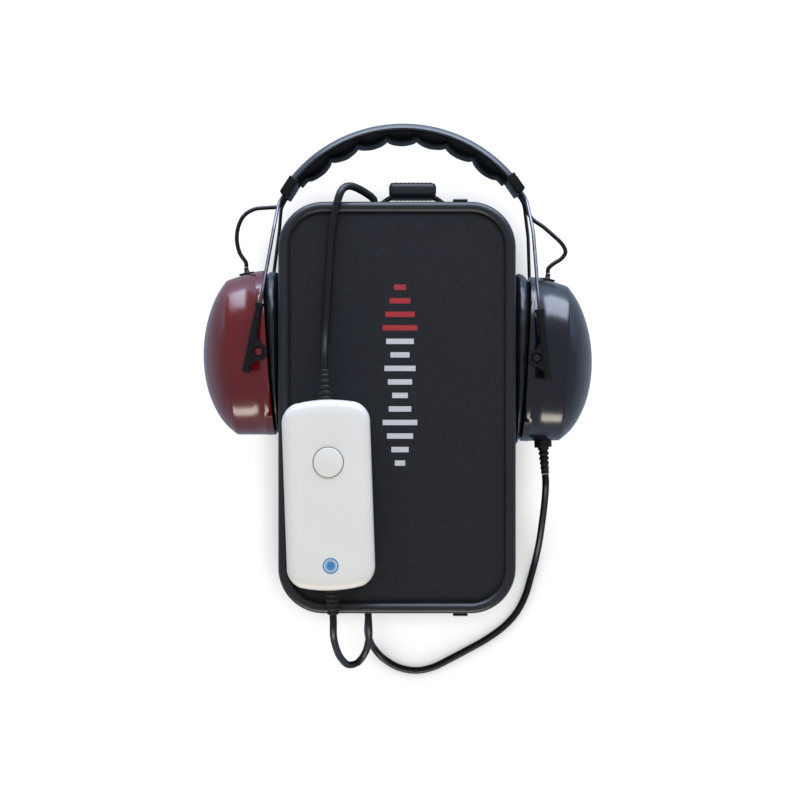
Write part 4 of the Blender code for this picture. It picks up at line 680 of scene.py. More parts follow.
def makeHeadsetLead():
    lead = cords["lead"]
    coil = coilLine(lead)
    toCoil = straightOn(coil[1], coil[0], lead["diameter"])[::-1]
    unitWay = smoothRoute(fromUnit(reliefs["lead"], lead) + unitLeadRoute + toCoil, cords["spacing"])
    tip = cupReliefFoot + cupReliefWay * (reliefs["cup"]["length"] + hair)
    cupWay = smoothRoute(straightOn(coil[-2], coil[-1], lead["diameter"]) + cupLeadRoute
                         + [tip + cupReliefWay * lead["diameter"], tip], cords["spacing"])[::-1]
    onUnit, overEdge, inside = cutAt(unitWay, lead["cuts"])
    cordPiece("unitLead", onUnit, lead, ("unit", "lid"), "lead_run_unit")
    cordPiece("unitLeadOverEdge", overEdge, lead, ("lid", "case"), "lead_run_unit")
    bodies = ("blue_cup", "blue_sleeves", "blue_arm", "headband", "case")
    *hanging, lying = cutAt(cupWay, lead["cupCuts"])
    for n, (points, pair) in enumerate(zip(hanging, zip(bodies, bodies[1:])), 1):
        cordPiece(f"cupLead{n}", points, lead, pair, "lead_run_cup")
    cordPiece("headsetLead", inside + coil[1:] + lying[::-1][1:], lead, "case",
              ("lead_run_cup", "lead_coil", "lead_run_unit"))


def makeCrossoverCord(name, side):
    cross = cords["cross"]
    route = [side["clipEnd"] + side["fall"] * hair, side["clipEnd"] + side["fall"] * cross["diameter"]]
    route += [Vector((x, y, headset["z"])) for x, y in side["cross"]]
    top = side["grommet"] + side["up"] * (headset["grommetHeight"] + hair)
    route += [top + side["up"] * cross["diameter"], top]
    first, second, last = cutAt(smoothRoute(route, cross["spacing"]), cross["cuts"])
    end = settle(tubeMesh(last, cross["diameter"] / 2, cords["roundness"]), f"{name}CrossoverEnd", "pvc",
                 (f"{name}_sleeves", f"{name}_cup", last[0], last[-1]), (), cords["sharp"])
    replaced = f"{name}_crossover_cord"
    cordPiece(f"{name}CrossoverTop", first, cross, ("headband", f"{name}_arm"), replaced)
    cordPiece(f"{name}CrossoverCord", second, cross, (f"{name}_arm", f"{name}_sleeves"), replaced)


makeUsbCord()
makeHeadsetLead()
for name, side in sides.items():
    makeCrossoverCord(name, side)
print("cords: USB cord, headset lead, two crossover cords")


# Zip case: padded walls and lid in woven polyester, rolled piping, an open zip and a carrying handle
case = {
    "width": 0.1514, "length": 0.2624, "corner": 0.029, "wall": 0.004, "floor": 0.0065, "rim": 0.085,
    "basePiping": 0.0022, "lidPiping": 0.0035, "lidPipingZ": 0.0944, "lidLow": 0.0909, "lidEdge": 0.0961,
    "crown": 0.0016, "slack": 0.0003, "slackSize": 0.035, "roll": 0.0011, "rollFrom": 0.965,
    "lidGrid": (72, 120), "pipingSwing": 0.03, "pipingLumps": 0.012, "wallRings": 14, "sag": 0.0009,
    "sagSize": 0.03, "usbNotch": (-0.0141, 0.0062), "leadNotch": (-0.0186, 0.0118), "notch": 0.0084,
    "notchReach": (0.008, 0.004), "notchBevel": 0.001, "hinge": 0.19, "hingeThickness": 0.0021,
    "hingeCuts": 5,
}
zipRows = {
    "lower": {"low": 0.0853, "high": 0.0880, "teeth": 0.0874, "body": "case"},
    "upper": {"low": 0.0883, "high": 0.0906, "teeth": 0.0889, "body": "lid"},
    "depth": 0.0024, "tooth": (0.0010, 0.0016, 0.0009), "toothBevel": 0.0002, "pitch": 0.0018,
    "inward": 0.0007,
}
handle = {
    "x": 0.0101, "z": 0.05, "reach": 0.147, "grip": (0.0309, 0.0078, 0.027), "plump": 0.0024,
    "roundness": 0.45, "folds": 0.00025, "foldTurns": (70, 160), "foldEnd": 0.44, "cuts": 24,
    "strap": (0.022, 0.0016), "run": 0.0065, "foot": 0.006, "skin": 0.133, "patch": (0.1315, 0.0012),
    "patchBevel": 0.0004, "bendStep": 0.0015, "weave": 0.9,
}


def caseOutline(inset, steps=12, counts=(12, 26)):
    return roundedOutline(case["width"] / 2 - inset, case["length"] / 2 - inset,
                          max(case["corner"] - inset, case["wall"]), steps, counts)


def at(points, z):
    return [Vector((point.x, point.y, z)) for point in points]


def pipingLine(inset, z):
    return at(caseOutline(inset, 16, (30, 68)), z)


def lidSkin(x, y):      # a slight crown, flat towards the piping, with the weave's own slackness on it
    halfX = case["width"] / 2 - 2 * case["lidPiping"]
    halfY = case["length"] / 2 - 2 * case["lidPiping"]
    share = min(((x / halfX) ** 4 + (y / halfY) ** 4) ** 0.25, 1.0)
    slack = case["slack"] * softly((x, y, 0.0), case["slackSize"], 3.0) * (1.0 - share**4)
    return case["lidEdge"] + case["crown"] * (1.0 - share**3) + slack


def lineInside(piece, test):
    piece.data.materials.append(finishes["lining"])
    for face in piece.data.polygons:
        if test(face.center, face.normal):
            face.material_index = 1


def makeLid():
    inset = 2 * case["lidPiping"] + hair
    halfX, halfY = case["width"] / 2 - inset, case["length"] / 2 - inset
    columns, rows = case["lidGrid"]
    bm = bmesh.new()
    bmesh.ops.create_grid(bm, x_segments=columns, y_segments=rows, size=1.0)
    for vert in bm.verts:      # the square grid becomes nested rounded rectangles
        share = max(abs(vert.co.x), abs(vert.co.y))
        corner = (case["corner"] - inset) * share
        x, y = vert.co.x * halfX, vert.co.y * halfY
        overX, overY = abs(x) - (halfX * share - corner), abs(y) - (halfY * share - corner)
        if overX > 0 and overY > 0:
            pull = max(overX, overY) / math.hypot(overX, overY)
            x = math.copysign(halfX * share - corner + overX * pull, x)
            y = math.copysign(halfY * share - corner + overY * pull, y)
        edge = max(0.0, (share - case["rollFrom"]) / (1.0 - case["rollFrom"]))
        vert.co = (x, y, lidSkin(x, y) - case["roll"] * edge**2)
    for part in bmesh.ops.extrude_face_region(bm, geom=bm.faces[:])["geom"]:
        if isinstance(part, bmesh.types.BMVert):
            part.co.z = case["lidLow"]
    panel = settle(meshOf(bm), "lidPanel", "canvas", "lid", "case_lid_panel", 50.0)
    lineInside(panel, lambda place, normal: normal.z < -0.5)
    line = pipingLine(case["lidPiping"], case["lidPipingZ"])
    radii = [1.0 - case["pipingSwing"] * abs(softly(point, case["pipingLumps"], 8.0)) for point in line]
    settle(tubeMesh(line, case["lidPiping"], 6, True, radii), "lidPiping", "binding", "lid",
           "case_lid_piping", 60.0)


def makeBase():
    rebate, rim, count = 2 * case["basePiping"], case["rim"], case["wallRings"]
    skirt = rebate + hair
    rings = [at(caseOutline(rebate), 0.0), at(caseOutline(rebate), skirt), at(caseOutline(0.0), skirt)]
    for n in range(1, count):
        sag = case["sag"] * math.sin(math.pi * n / count)
        ring = []
        for point in at(caseOutline(0.0), skirt + (rim - skirt) * n / count):
            inward = Vector((point.x, point.y, 0.0)).normalized()
            ring.append(point - inward * sag * abs(softly(point, case["sagSize"], 5.0)))
        rings.append(ring)
    rings += [at(caseOutline(0.0), rim), at(caseOutline(case["wall"]), rim),
              at(caseOutline(case["wall"]), case["floor"])]
    notches = []
    reach, over = case["notchReach"]
    for (x, depth), y in ((case["usbNotch"], case["length"] / 2), (case["leadNotch"], -case["length"] / 2)):
        notches.append(("DIFFERENCE", drawn(slab, (x - case["notch"] / 2, y - reach, rim - depth),
                                            (x + case["notch"] / 2, y + reach, rim + over),
                                            case["notchBevel"])))
    wall = settle(carved(drawn(loftRings, rings), *notches), "caseWall", "canvas", "case",
                  "case_base_shell", 50.0)
    lineInside(wall, lambda place, normal: place.z > case["floor"] - hair and abs(normal.z) < 0.5
               and place.xy.dot(normal.xy) < 0 or normal.z > 0.5 and place.z < case["floor"] + hair)
    radius = case["basePiping"]
    settle(tubeMesh(pipingLine(rebate - hair - radius, radius + hair), radius, 4, True), "basePiping",
           "binding", "case", "case_base_piping", 60.0)


def zipLine(inset):      # the case's outline without the hinge, from one end of the hinge round to the other
    side, reach = case["width"] / 2 - inset - hair, case["hinge"] / 2
    points = [p for p in caseOutline(inset, 24, (20, 60)) if p.x <= side or abs(p.y) >= reach + hair]
    gaps = [(b - a).length > reach for a, b in zip(points, points[1:] + points[:1])]
    first = gaps.index(True)
    return points[first + 1:] + points[:first + 1]


def evenly(points, spacing):
    made, left = [], 0.0
    for here, there in zip(points, points[1:]):
        run = (there - here).length
        while left < run:
            made.append((here.lerp(there, left / run), (there - here).normalized()))
            left += spacing
        left -= run
    return made


def makeZip():
    outer, inner = zipLine(0.0), zipLine(zipRows["depth"])
    for name in ("lower", "upper"):
        row = zipRows[name]
        bm = bmesh.new()
        face = bm.faces.new([bm.verts.new((p.x, p.y, row["low"])) for p in outer + inner[::-1]])
        raised(bm, bmesh.ops.extrude_face_region(bm, geom=[face])["geom"], row["high"] - row["low"])
        settle(meshOf(bm), f"{name}ZipTape", "zipTape", row["body"], f"zip_tape_{name}", 40.0)
        bm = bmesh.new()
        for place, way in evenly(outer, zipRows["pitch"]):
            turn = Matrix((way, way.cross(-upright), upright)).transposed()
            spot = Vector((place.x, place.y, row["teeth"])) + turn.col[1] * zipRows["inward"]
            size = Matrix.Diagonal((*zipRows["tooth"], 1.0))
            block(bm, Matrix.Translation(spot) @ turn.to_4x4() @ size, zipRows["toothBevel"], 1)
        settle(meshOf(bm), f"{name}ZipTeeth", "nylon", row["body"], (), 30.0)
    half, reach = case["width"] / 2, case["hinge"] / 2
    low, high = zipRows["lower"]["low"], zipRows["upper"]["high"]
    bm = bmesh.new()
    slab(bm, (half - zipRows["depth"], -reach, low),
         (half - zipRows["depth"] + case["hingeThickness"], reach, high))
    cutAcross(bm, 2, hair, case["hingeCuts"])
    settle(meshOf(bm), "hingeTape", "zipTape", ("case", "lid", (half, 0.0, low), (half, 0.0, high)),
           "case_hinge_tape", 40.0)


def makeHandleSleeve():
    wide, deep, tall = handle["grip"]
    x, z, outer = handle["x"], handle["z"], handle["reach"]
    across, down = handle["foldTurns"]
    bm = bmesh.new()
    slab(bm, (x - wide / 2, outer - deep - handle["plump"], z - tall / 2),
         (x + wide / 2, outer, z + tall / 2), deep * handle["roundness"], 5)
    cutAcross(bm, 0, wide / 2, handle["cuts"])
    for vert in bm.verts:      # shallow folds where the sleeve is rolled round the strap
        along = (vert.co.x - x) / wide
        if abs(along) < handle["foldEnd"]:
            vert.co.y -= handle["folds"] * (1 + math.sin(along * across + vert.co.z * down))
    sleeve = settle(meshOf(bm), "handleSleeve", "binding", "case", "handle_grip", 60.0)


def makeHandleStrap():
    wide, deep, _ = handle["grip"]
    strap, thick = handle["strap"]
    x, z, foot = handle["x"], handle["z"], wide / 2 + handle["run"]
    back, skin = handle["reach"] - deep - hair - thick / 2, handle["skin"] + thick / 2
    middle = [(-foot - handle["foot"], skin), (-foot, skin), (thick / 2 - wide / 2, back),
              (wide / 2 - thick / 2, back), (foot, skin), (foot + handle["foot"], skin)]
    path = smoothRoute([Vector((x + a, b, z)) for a, b in middle], handle["bendStep"])
    bm = bmesh.new()
    verts = [bm.verts.new((p.x, p.y, z - strap / 2)) for p in path]
    edges = [bm.edges.new(pair) for pair in zip(verts, verts[1:])]
    raised(bm, bmesh.ops.extrude_edge_only(bm, edges=edges)["geom"], strap)
    bmesh.ops.recalc_face_normals(bm, faces=bm.faces)
    bmesh.ops.solidify(bm, geom=bm.faces[:], thickness=thick * handle["weave"])
    settle(meshOf(bm), "handleStrap", "webbing", "case", "handle_strap", 50.0)
    reach, tall = foot + handle["foot"] + thick, strap / 2 + thick
    patch = drawn(slab, (x - reach, handle["patch"][0], z - tall),
                  (x + reach, sum(handle["patch"]), z + tall), handle["patchBevel"], 2)
    settle(patch, "handlePatch", "webbing", "case", "handle_patch", 40.0)


makeBase()
makeLid()
makeZip()
makeHandleSleeve()
makeHandleStrap()
print("case: walls, lid, piping, zip and handle")


# Handheld unit: two moulded shells, end panels, domed button, ribbed boots and a printed disc
shells = {
    "wall": 0.002, "footInset": 0.0035, "footHeight": 0.0033, "roof": 0.0034, "edge": 0.012, "lip": 0.0003,
    "shoulderShares": ((0.0, 0.4), (0.0, 0.69), (0.04, 0.78), (0.125, 0.86), (0.235, 0.918), (0.375, 0.96),
                       (0.64, 0.99), (1.0, 1.0)),
    "shoulderStep": 0.0006, "panel": (0.0326, 0.003), "panelRise": 0.0035, "panelDrop": 0.0034,
    "panelBevel": 0.0003, "panelCuts": 11,
}
button = {"x": 0.0008, "y": 0.0205, "radius": 0.0093, "gap": 0.0004, "proud": 0.0015, "dome": 0.0005,
          "edge": 0.0007, "flange": (0.011, 0.002), "boreDepth": 0.006, "chamfer": 0.0004}
screws = {"x": 0.0195, "y": 0.0505, "head": 0.0025, "headHeight": 0.0016, "sink": 0.0004, "slot": 0.0006,
          "shank": 0.0011, "length": 0.012, "point": 0.0015, "crossArm": 0.65, "crossDeep": 0.6,
          "pan": ((0.0, 0.0), (0.7, 0.0), (0.95, 0.2), (1.0, 0.5), (1.0, 1.0))}
boots = {"ribs": 5, "tail": 0.5, "grooveShare": 0.76, "grooveLeast": 0.97, "neck": 0.003, "root": 0.001,
         "tipShare": 0.74, "tipFrom": 0.1, "tipEdge": 0.93,
         "ribShape": ((0.0, 0.95), (0.1, 1.0), (0.45, 1.0), (0.55, 0.95)), "groove": (0.62, 0.92)}
disc = {"x": 0.0, "y": -0.0441, "radius": 0.005, "ink": 0.00006,
        "rings": ((0.0, 0.55), (0.62, 0.7), (0.82, 1.0))}      # a dot, a thin ring and a broad ring


def unitOutline(inset, z):
    halfX, halfY = unit["width"] / 2 - inset, unit["length"] / 2 - unit["rise"] - inset
    points = roundedOutline(halfX, halfY, max(unit["corner"] - inset, shells["wall"]), 12, (10, 16))
    bows = [unit["rise"] * (1 - (p.x / unit["width"] * 2) ** 2) for p in points]
    return [Vector((p.x, p.y + math.copysign(bow, p.y), z)) for p, bow in zip(points, bows)]


def panelBox(bm, way, loose, past, bevel=0.0):
    wide, deep = shells["panel"]
    near, far = sorted((way * (unit["length"] / 2 - deep - loose), way * (unit["length"] / 2 + past)))
    slab(bm, (-wide / 2 - loose, near, unit["low"] + shells["panelRise"] - loose),
         (wide / 2 + loose, far, unit["top"] - shells["panelDrop"] + loose), bevel, 2)


def panelSlots(bm):
    for way in (-1, 1):
        panelBox(bm, way, hair, shells["panel"][1])


def endPanel(bm, way):
    panelBox(bm, way, 0.0, 0.0, shells["panelBevel"])
    cutAcross(bm, 0, shells["panel"][0] / 2, shells["panelCuts"])
    for vert in bm.verts:      # bowed as the shells' ends are
        vert.co.y -= way * unit["rise"] * (vert.co.x / unit["width"] * 2) ** 2


def screwWells(bm):
    deep = screws["headHeight"] + screws["sink"] + hair
    for way in (-1, 1):
        place = (way * screws["x"], way * screws["y"], unit["low"])
        rod(bm, screws["head"] + hair, -deep, deep, place, upright, 32)


def buttonBore(bm):
    hole, chamfer, deep = button["radius"] + button["gap"], button["chamfer"], button["boreDepth"]
    turned(bm, [(0.0, -deep), (hole, -deep), (hole, -chamfer), (hole + chamfer, 0.0),
                (hole + chamfer, shells["wall"]), (0.0, shells["wall"])],
           (button["x"], button["y"], unit["top"]), upright, 96)


def unitPiece(mesh, name, finish, replaced=(), sharp=35.0, body="unit"):
    mesh.transform(unitPlace)
    settle(mesh, name, finish, body, replaced, sharp)


def makeShells():
    wall, low, split, top = shells["wall"], unit["low"], unit["split"], unit["top"]
    foot, rise, lip = shells["footInset"], shells["footHeight"], shells["lip"]
    rings = [unitOutline(inset, z) for inset, z in (
        (foot + lip, low), (foot - lip, low + lip / 2), (foot / 3, low + rise / 3),
        (foot / 12, low + rise * 0.7), (0.0, low + rise), (0.0, split - lip), (lip, split), (wall, split),
        (wall, low + rise), (foot + wall / 2, low + wall))]
    lower = carved(drawn(loftRings, rings), ("DIFFERENCE", drawn(panelSlots)),
                   ("DIFFERENCE", drawn(screwWells)))
    unitPiece(lower, "unitLowerShell", "whiteAbs", "unit_bottom_shell")
    start, edge = split + hair, shells["edge"]
    tall = top - start
    shoulder = smoothRoute([(a * edge, start + b * tall, 0.0) for a, b in shells["shoulderShares"]],
                           shells["shoulderStep"])
    rings = [unitOutline(inset, z) for inset, z in (
        (wall + edge / 4, top - shells["roof"]), (wall, start + tall / 2), (wall, start), (lip, start),
        (0.0, start + lip), *[(point.x, point.y) for point in shoulder[:-1]], (edge, top))]
    upper = carved(drawn(loftRings, rings), ("DIFFERENCE", drawn(panelSlots)),
                   ("DIFFERENCE", drawn(buttonBore)))
    unitPiece(upper, "unitUpperShell", "whiteAbs", "unit_top_shell")
    for name, way in (("top", 1), ("bottom", -1)):
        unitPiece(drawn(endPanel, way), f"{name}EndPanel", "whiteAbs",
                  f"unit_end_panel_{name}")


def makeButton():
    top, radius, edge, dome = unit["top"], button["radius"], button["edge"], button["dome"]
    wide, tall = button["flange"]
    under = top - shells["roof"] - hair
    rim = top + button["proud"] - dome
    profile = [(0.0, under - tall), (wide, under - tall), (wide, under), (radius, under)]
    for n in range(6):
        turn = math.pi / 2 * n / 5
        profile.append((radius - edge * (1 - math.cos(turn)), rim - edge * (1 - math.sin(turn))))
    profile += [((radius - edge) * share, rim + dome * (1 - share**2)) for share in (0.8, 0.6, 0.4, 0.2, 0.0)]
    cap = drawn(turned, profile, (button["x"], button["y"], 0.0), upright, 96)
    unitPiece(cap, "domedButton", "whiteAbs", "response_button", 50.0, "button")


def makeScrews():
    head, tall, slot = screws["head"], screws["headHeight"], screws["slot"]
    shank, end = screws["shank"], tall + screws["length"]
    arm, deep = head * screws["crossArm"], tall * screws["crossDeep"]
    profile = [(head * across, tall * along) for across, along in screws["pan"]]
    profile += [(shank, tall), (shank, end), (0.0, end + screws["point"])]
    for name, way in (("upper", 1), ("lower", -1)):
        x, y, z = way * screws["x"], way * screws["y"], unit["low"] + screws["sink"]
        cross = [("DIFFERENCE", drawn(slab, (x - a, y - b, z - slot), (x + a, y + b, z + deep)))
                 for a, b in ((slot / 2, arm), (arm, slot / 2))]
        made = carved(drawn(turned, profile, (x, y, z), upright, 32), *cross)
        unitPiece(made, f"{name}Screw", "nickel", f"unit_screw_{name}")


def bootProfile(start, radius, length, tip):      # ribs that shrink towards the cord
    ribs = boots["ribs"]
    pitch = length / (ribs + boots["tail"])
    made = []
    for n in range(ribs):
        rib = radius * (1 - n / ribs) + tip * n / ribs
        groove = max(rib * boots["grooveShare"], tip * boots["grooveLeast"])
        made += [(rib * share, (n + along) * pitch) for along, share in boots["ribShape"]]
        made += [(groove, (n + along) * pitch) for along in boots["groove"]]
    made += [(tip, (ribs + boots["tipFrom"]) * pitch), (tip, length - hair),
             (tip * boots["tipEdge"], length), (0.0, length)]
    return [(across, start + along) for across, along in made]


def makeBoots():
    for name in ("usb", "lead"):
        relief, neck = reliefs[name], boots["neck"]
        tip = max(relief["radius"] * boots["tipShare"], cords[name]["diameter"] / 2 + hair)
        profile = [(0.0, -boots["root"]), (neck, -boots["root"]), (neck, hair)]
        profile += bootProfile(hair, relief["radius"], relief["length"], tip)
        boot = drawn(turned, profile, (0.0, relief["way"] * unit["length"] / 2, reliefZ),
                     (0.0, relief["way"], 0.0), 40)
        unitPiece(boot, f"{name}Boot", "rubber", f"{name}_strain_relief", 40.0)


def makeDisc():
    bm = bmesh.new()
    radius, ink = disc["radius"], disc["ink"]
    for low, high in disc["rings"]:
        profile = [(low * radius, 0.0), (high * radius, 0.0), (high * radius, ink), (low * radius, ink)]
        if low:
            profile.append(profile[0])
        turned(bm, profile, (disc["x"], disc["y"], unit["top"] + hair / 10), upright, 64)
    unitPiece(meshOf(bm), "printedDisc", "blueInk", (), 30.0)


makeShells()
makeButton()
makeScrews()
makeBoots()
makeDisc()
dress("board", "unit_circuit_board")
dress("acetal", "unit_sound_chip", "unit_push_switch")
print("unit: shells, button, screws, boots, print")


# Headset: leatherette band over a sewn pad, clips, steel wires, sleeves, ear cups and cushions
band = {
    "x": 0.0039, "y": 0.0903, "radius": 0.0946, "width": 0.039, "first": math.radians(40.75),
    "last": math.radians(140.25), "depth": 0.0047, "thickness": 0.0024, "lip": 0.0019,
    "rollShape": ((0.00002, 0.0060), (0.00015, 0.0047), (0.00045, 0.0036), (0.0009, 0.0028),
                  (0.0015, 0.00215), (0.0022, 0.0015), (0.0028, 0.00095), (0.0033, 0.0006),
                  (0.0036, 0.0008), (0.0039, 0.0008), (0.0041, 0.0002)),
    "hemShape": ((0.0005, 0.0001), (0.0001, 0.0003), (0.0, 0.0008)), "steps": 72,
    "pucker": 0.00022, "puckerSize": 0.011,
    "stitch": (0.0016, 0.00045, 0.0004), "stitchPitch": 0.0023, "stitchLine": 0.0011, "stitchLean": 0.12,
    "stitchBevel": 0.00012,
}
pad = {
    "inset": 0.0006, "tuck": 0.0004, "steps": 170, "across": 16, "valley": 0.0036, "lobe": 0.0072, "lobes": 7,
    "lobeAngle": math.radians(13.1), "crease": 0.00022, "creaseSize": 0.006, "creaseArc": 0.09,
    "tuckShare": 0.97, "breadth": (0.965, 0.035), "swellPower": 0.55, "sidePower": 0.42, "depthPower": 0.62,
}
clips = {
    "length": 0.0135, "thickness": 0.0065, "width": 0.041, "gap": 0.0007, "bevel": 0.0009, "slot": 0.0044,
    "slotDepth": 0.004, "groove": (0.0022, 0.0028, 0.0003),
}
wires = {"radius": 0.00115, "clipSpread": 0.015, "bendSpread": 0.028, "leadIn": 0.0048, "bend": 0.0042,
         "bendSteps": 7, "end": 0.0135}
sleeves = {
    "radius": 0.0024, "collar": 0.0031, "collarHeight": 0.002, "length": 0.0452, "bore": 0.0015,
    "endWall": 0.005, "lobe": 0.0057, "thickness": 0.0032, "run": 0.0115, "hole": 0.0032, "shrink": 0.96,
}
cups = {
    "power": 2.35, "points": 120, "wall": 0.0022, "sag": 0.005, "pin": 0.0029, "pinReach": 0.0036,
    "pinEdge": 0.0005, "grommetSink": 0.0020, "grommetThickness": 0.0011, "slope": 0.11,
    "grommetEdge": (0.92, 0.93), "grommetNeck": (1.4, 1.1), "inside": ((0.4, 0.95), (0.0, 0.994)),
    "skirt": ((0.0, 0.994), (0.006, 1.0), (0.112, 0.997), (0.116, 0.9925), (0.3, 0.974), (0.5, 0.948),
              (0.556, 0.9385), (0.57, 0.934)),
    "dome": ((0.57, 0.934), (0.585, 0.922), (0.64, 0.875), (0.714, 0.803), (0.78, 0.72), (0.84, 0.622),
             (0.89, 0.52), (0.935, 0.405), (0.97, 0.27), (0.992, 0.135), (1.0, 0.0)),
}
cushions = {
    "inset": 0.0012, "flare": {"red": 0.0006, "blue": 0.0036}, "width": 0.019, "round": 0.005, "points": 160,
    "fold": 0.00035, "foldSize": 0.008, "foldSeed": {"red": 6.0, "blue": 9.0}, "wrinkle": 0.6,
    "wrinkleSize": 0.0035, "foam": 0.0022, "foamInset": 0.0205, "foamEdge": 0.001,
    "seam": (0.6, 0.45, 2.2), "nose": (0.95, 1.05, 3), "flareRise": 1.6, "foldFade": (0.4, 0.5),
}


def bandPoint(radius, angle, z):
    return Vector((band["x"] + radius * math.cos(angle), band["y"] + radius * math.sin(angle),
                   headset["z"] + z))


def bandAngles(count):
    return [band["first"] + (band["last"] - band["first"]) * n / count for n in range(count + 1)]


def makeCover():
    half, outer = band["width"] / 2, band["radius"]
    inner, edge = outer - band["depth"], half - band["lip"]
    side = [(outer, 0.0), (outer, half * 0.3)]
    side += [(outer - along, half - down) for along, down in band["rollShape"]]
    side += [(inner + along, half - down) for along, down in band["hemShape"]]
    side += [(inner, edge), (outer - band["thickness"], edge)]
    profile = side + [(radius, -z) for radius, z in side[:0:-1]]
    rings = []
    for angle in bandAngles(band["steps"]):
        ring = []
        for radius, z in profile:
            pucker = 0.0
            if radius < outer - hair:
                pucker = band["pucker"] * softly((angle * outer, z * 0.3, 0.0), band["puckerSize"], 2.0)
            ring.append(bandPoint(radius, angle, z + math.copysign(pucker, z)))
        rings.append(ring)
    cover = settle(drawn(loftRings, rings), "bandCover", "leatherette", "headband",
                   "headband_cover", 50.0)


def makeStitches():
    half = band["width"] / 2 - hair
    line = band["radius"] - band["depth"] + band["stitchLine"]
    count = round(line * (band["last"] - band["first"]) / band["stitchPitch"])
    bm = bmesh.new()
    for angle in bandAngles(count)[1:-1]:
        turn = Matrix.Rotation(angle + math.pi / 2 + band["stitchLean"], 3, "Z").to_quaternion()
        for way in (-1, 1):
            place = bandPoint(line, angle, way * half)
            block(bm, Matrix.LocRotScale(place, turn, Vector(band["stitch"])), band["stitchBevel"], 1)
    settle(meshOf(bm), "bandStitches", "thread", "headband", (), 60.0)


def makePad():
    half = band["width"] / 2 - pad["inset"]
    base = band["radius"] - band["depth"]
    middle = (band["first"] + band["last"]) / 2
    narrow, gain = pad["breadth"]
    rings = []
    for angle in bandAngles(pad["steps"]):
        swell = 0.0
        if abs(angle - middle) < pad["lobes"] / 2 * pad["lobeAngle"]:
            phase = ((angle - middle) / pad["lobeAngle"] + 0.5) % 1.0
            swell = math.sin(math.pi * phase) ** pad["swellPower"]
        deep = pad["valley"] + (pad["lobe"] - pad["valley"]) * swell
        ring = [bandPoint(base + pad["tuck"], angle, way * half * pad["tuckShare"]) for way in (-1, 1)]
        for n in range(pad["across"] + 1):
            turn = math.pi * n / pad["across"]
            c, s = math.cos(turn), math.sin(turn)
            wide = half * (narrow + gain * swell) * math.copysign(abs(c) ** pad["sidePower"], c)
            crease = pad["crease"] * softly((angle * pad["creaseArc"], wide, 0.0), pad["creaseSize"], 4.0)
            ring.append(bandPoint(base - hair - deep * s ** pad["depthPower"] - crease * s, angle, wide))
        rings.append(ring)
    piece = settle(drawn(loftRings, rings), "bandPad", "padVinyl", "headband",
                   "headband_cushion", 60.0)


def rounded(path, radius):
    made = [path[0]]
    for before, corner, after in zip(path, path[1:], path[2:]):
        back, ahead = before - corner, after - corner
        reach = min(radius, back.length * 0.45, ahead.length * 0.45)
        start, end = corner + back.normalized() * reach, corner + ahead.normalized() * reach
        for n in range(wires["bendSteps"] + 1):
            t = n / wires["bendSteps"]
            made.append(start * (1 - t) ** 2 + corner * 2 * t * (1 - t) + end * t**2)
    return made + [path[-1]]


def clipSlots(bm):
    thick, wide, long = clips["thickness"] / 2, clips["width"] / 2, clips["length"] - clips["gap"]
    half, reach = clips["slot"] / 2, wires["clipSpread"] + clips["slot"] / 2
    slab(bm, (-half, long - clips["slotDepth"], -reach), (half, long + thick, reach))
    start, end, deep = clips["groove"]
    for way in (-1, 1):      # a shallow moulded groove across each face
        slab(bm, (way * thick - deep, start, -2 * wide), (way * thick + deep, end, 2 * wide))


def makeClip(name, side):
    fall = side["fall"]
    thick, wide, long = clips["thickness"] / 2, clips["width"] / 2, clips["length"] - clips["gap"]
    body = drawn(slab, (-thick, 0.0, -wide), (thick, long, wide), clips["bevel"], 4)
    body = carved(body, ("DIFFERENCE", drawn(clipSlots)))
    turn = Matrix((fall.cross(upright), fall, upright)).transposed().to_4x4()
    body.transform(Matrix.Translation(side["clipTop"] + fall * clips["gap"]) @ turn)
    settle(body, f"{name}BandClip", "acetal", "headband", f"{name}_band_clip", 40.0)


def makeWires(name, side):
    fall, down = side["fall"], side["down"]
    turn = side["clipEnd"] - fall * (clips["slotDepth"] - hair - wires["radius"])
    path = []
    for way in (-1, 1):
        lift = upright * way
        start = turn + lift * wires["clipSpread"]
        entry = side["sleeve"] + lift * headset["sleeveHeight"]
        run = [start, start + fall * (clips["slotDepth"] + wires["leadIn"]),
               side["bendAt"] + lift * wires["bendSpread"], entry - down * wires["leadIn"],
               entry + down * (sleeves["length"] - wires["end"])]
        path += run[::-1] if way < 0 else run
    path = rounded(path, wires["bend"])
    settle(tubeMesh(path, wires["radius"], 6), f"{name}Wire", "steel", f"{name}_arm",
           f"{name}_wire_yoke", 60.0)


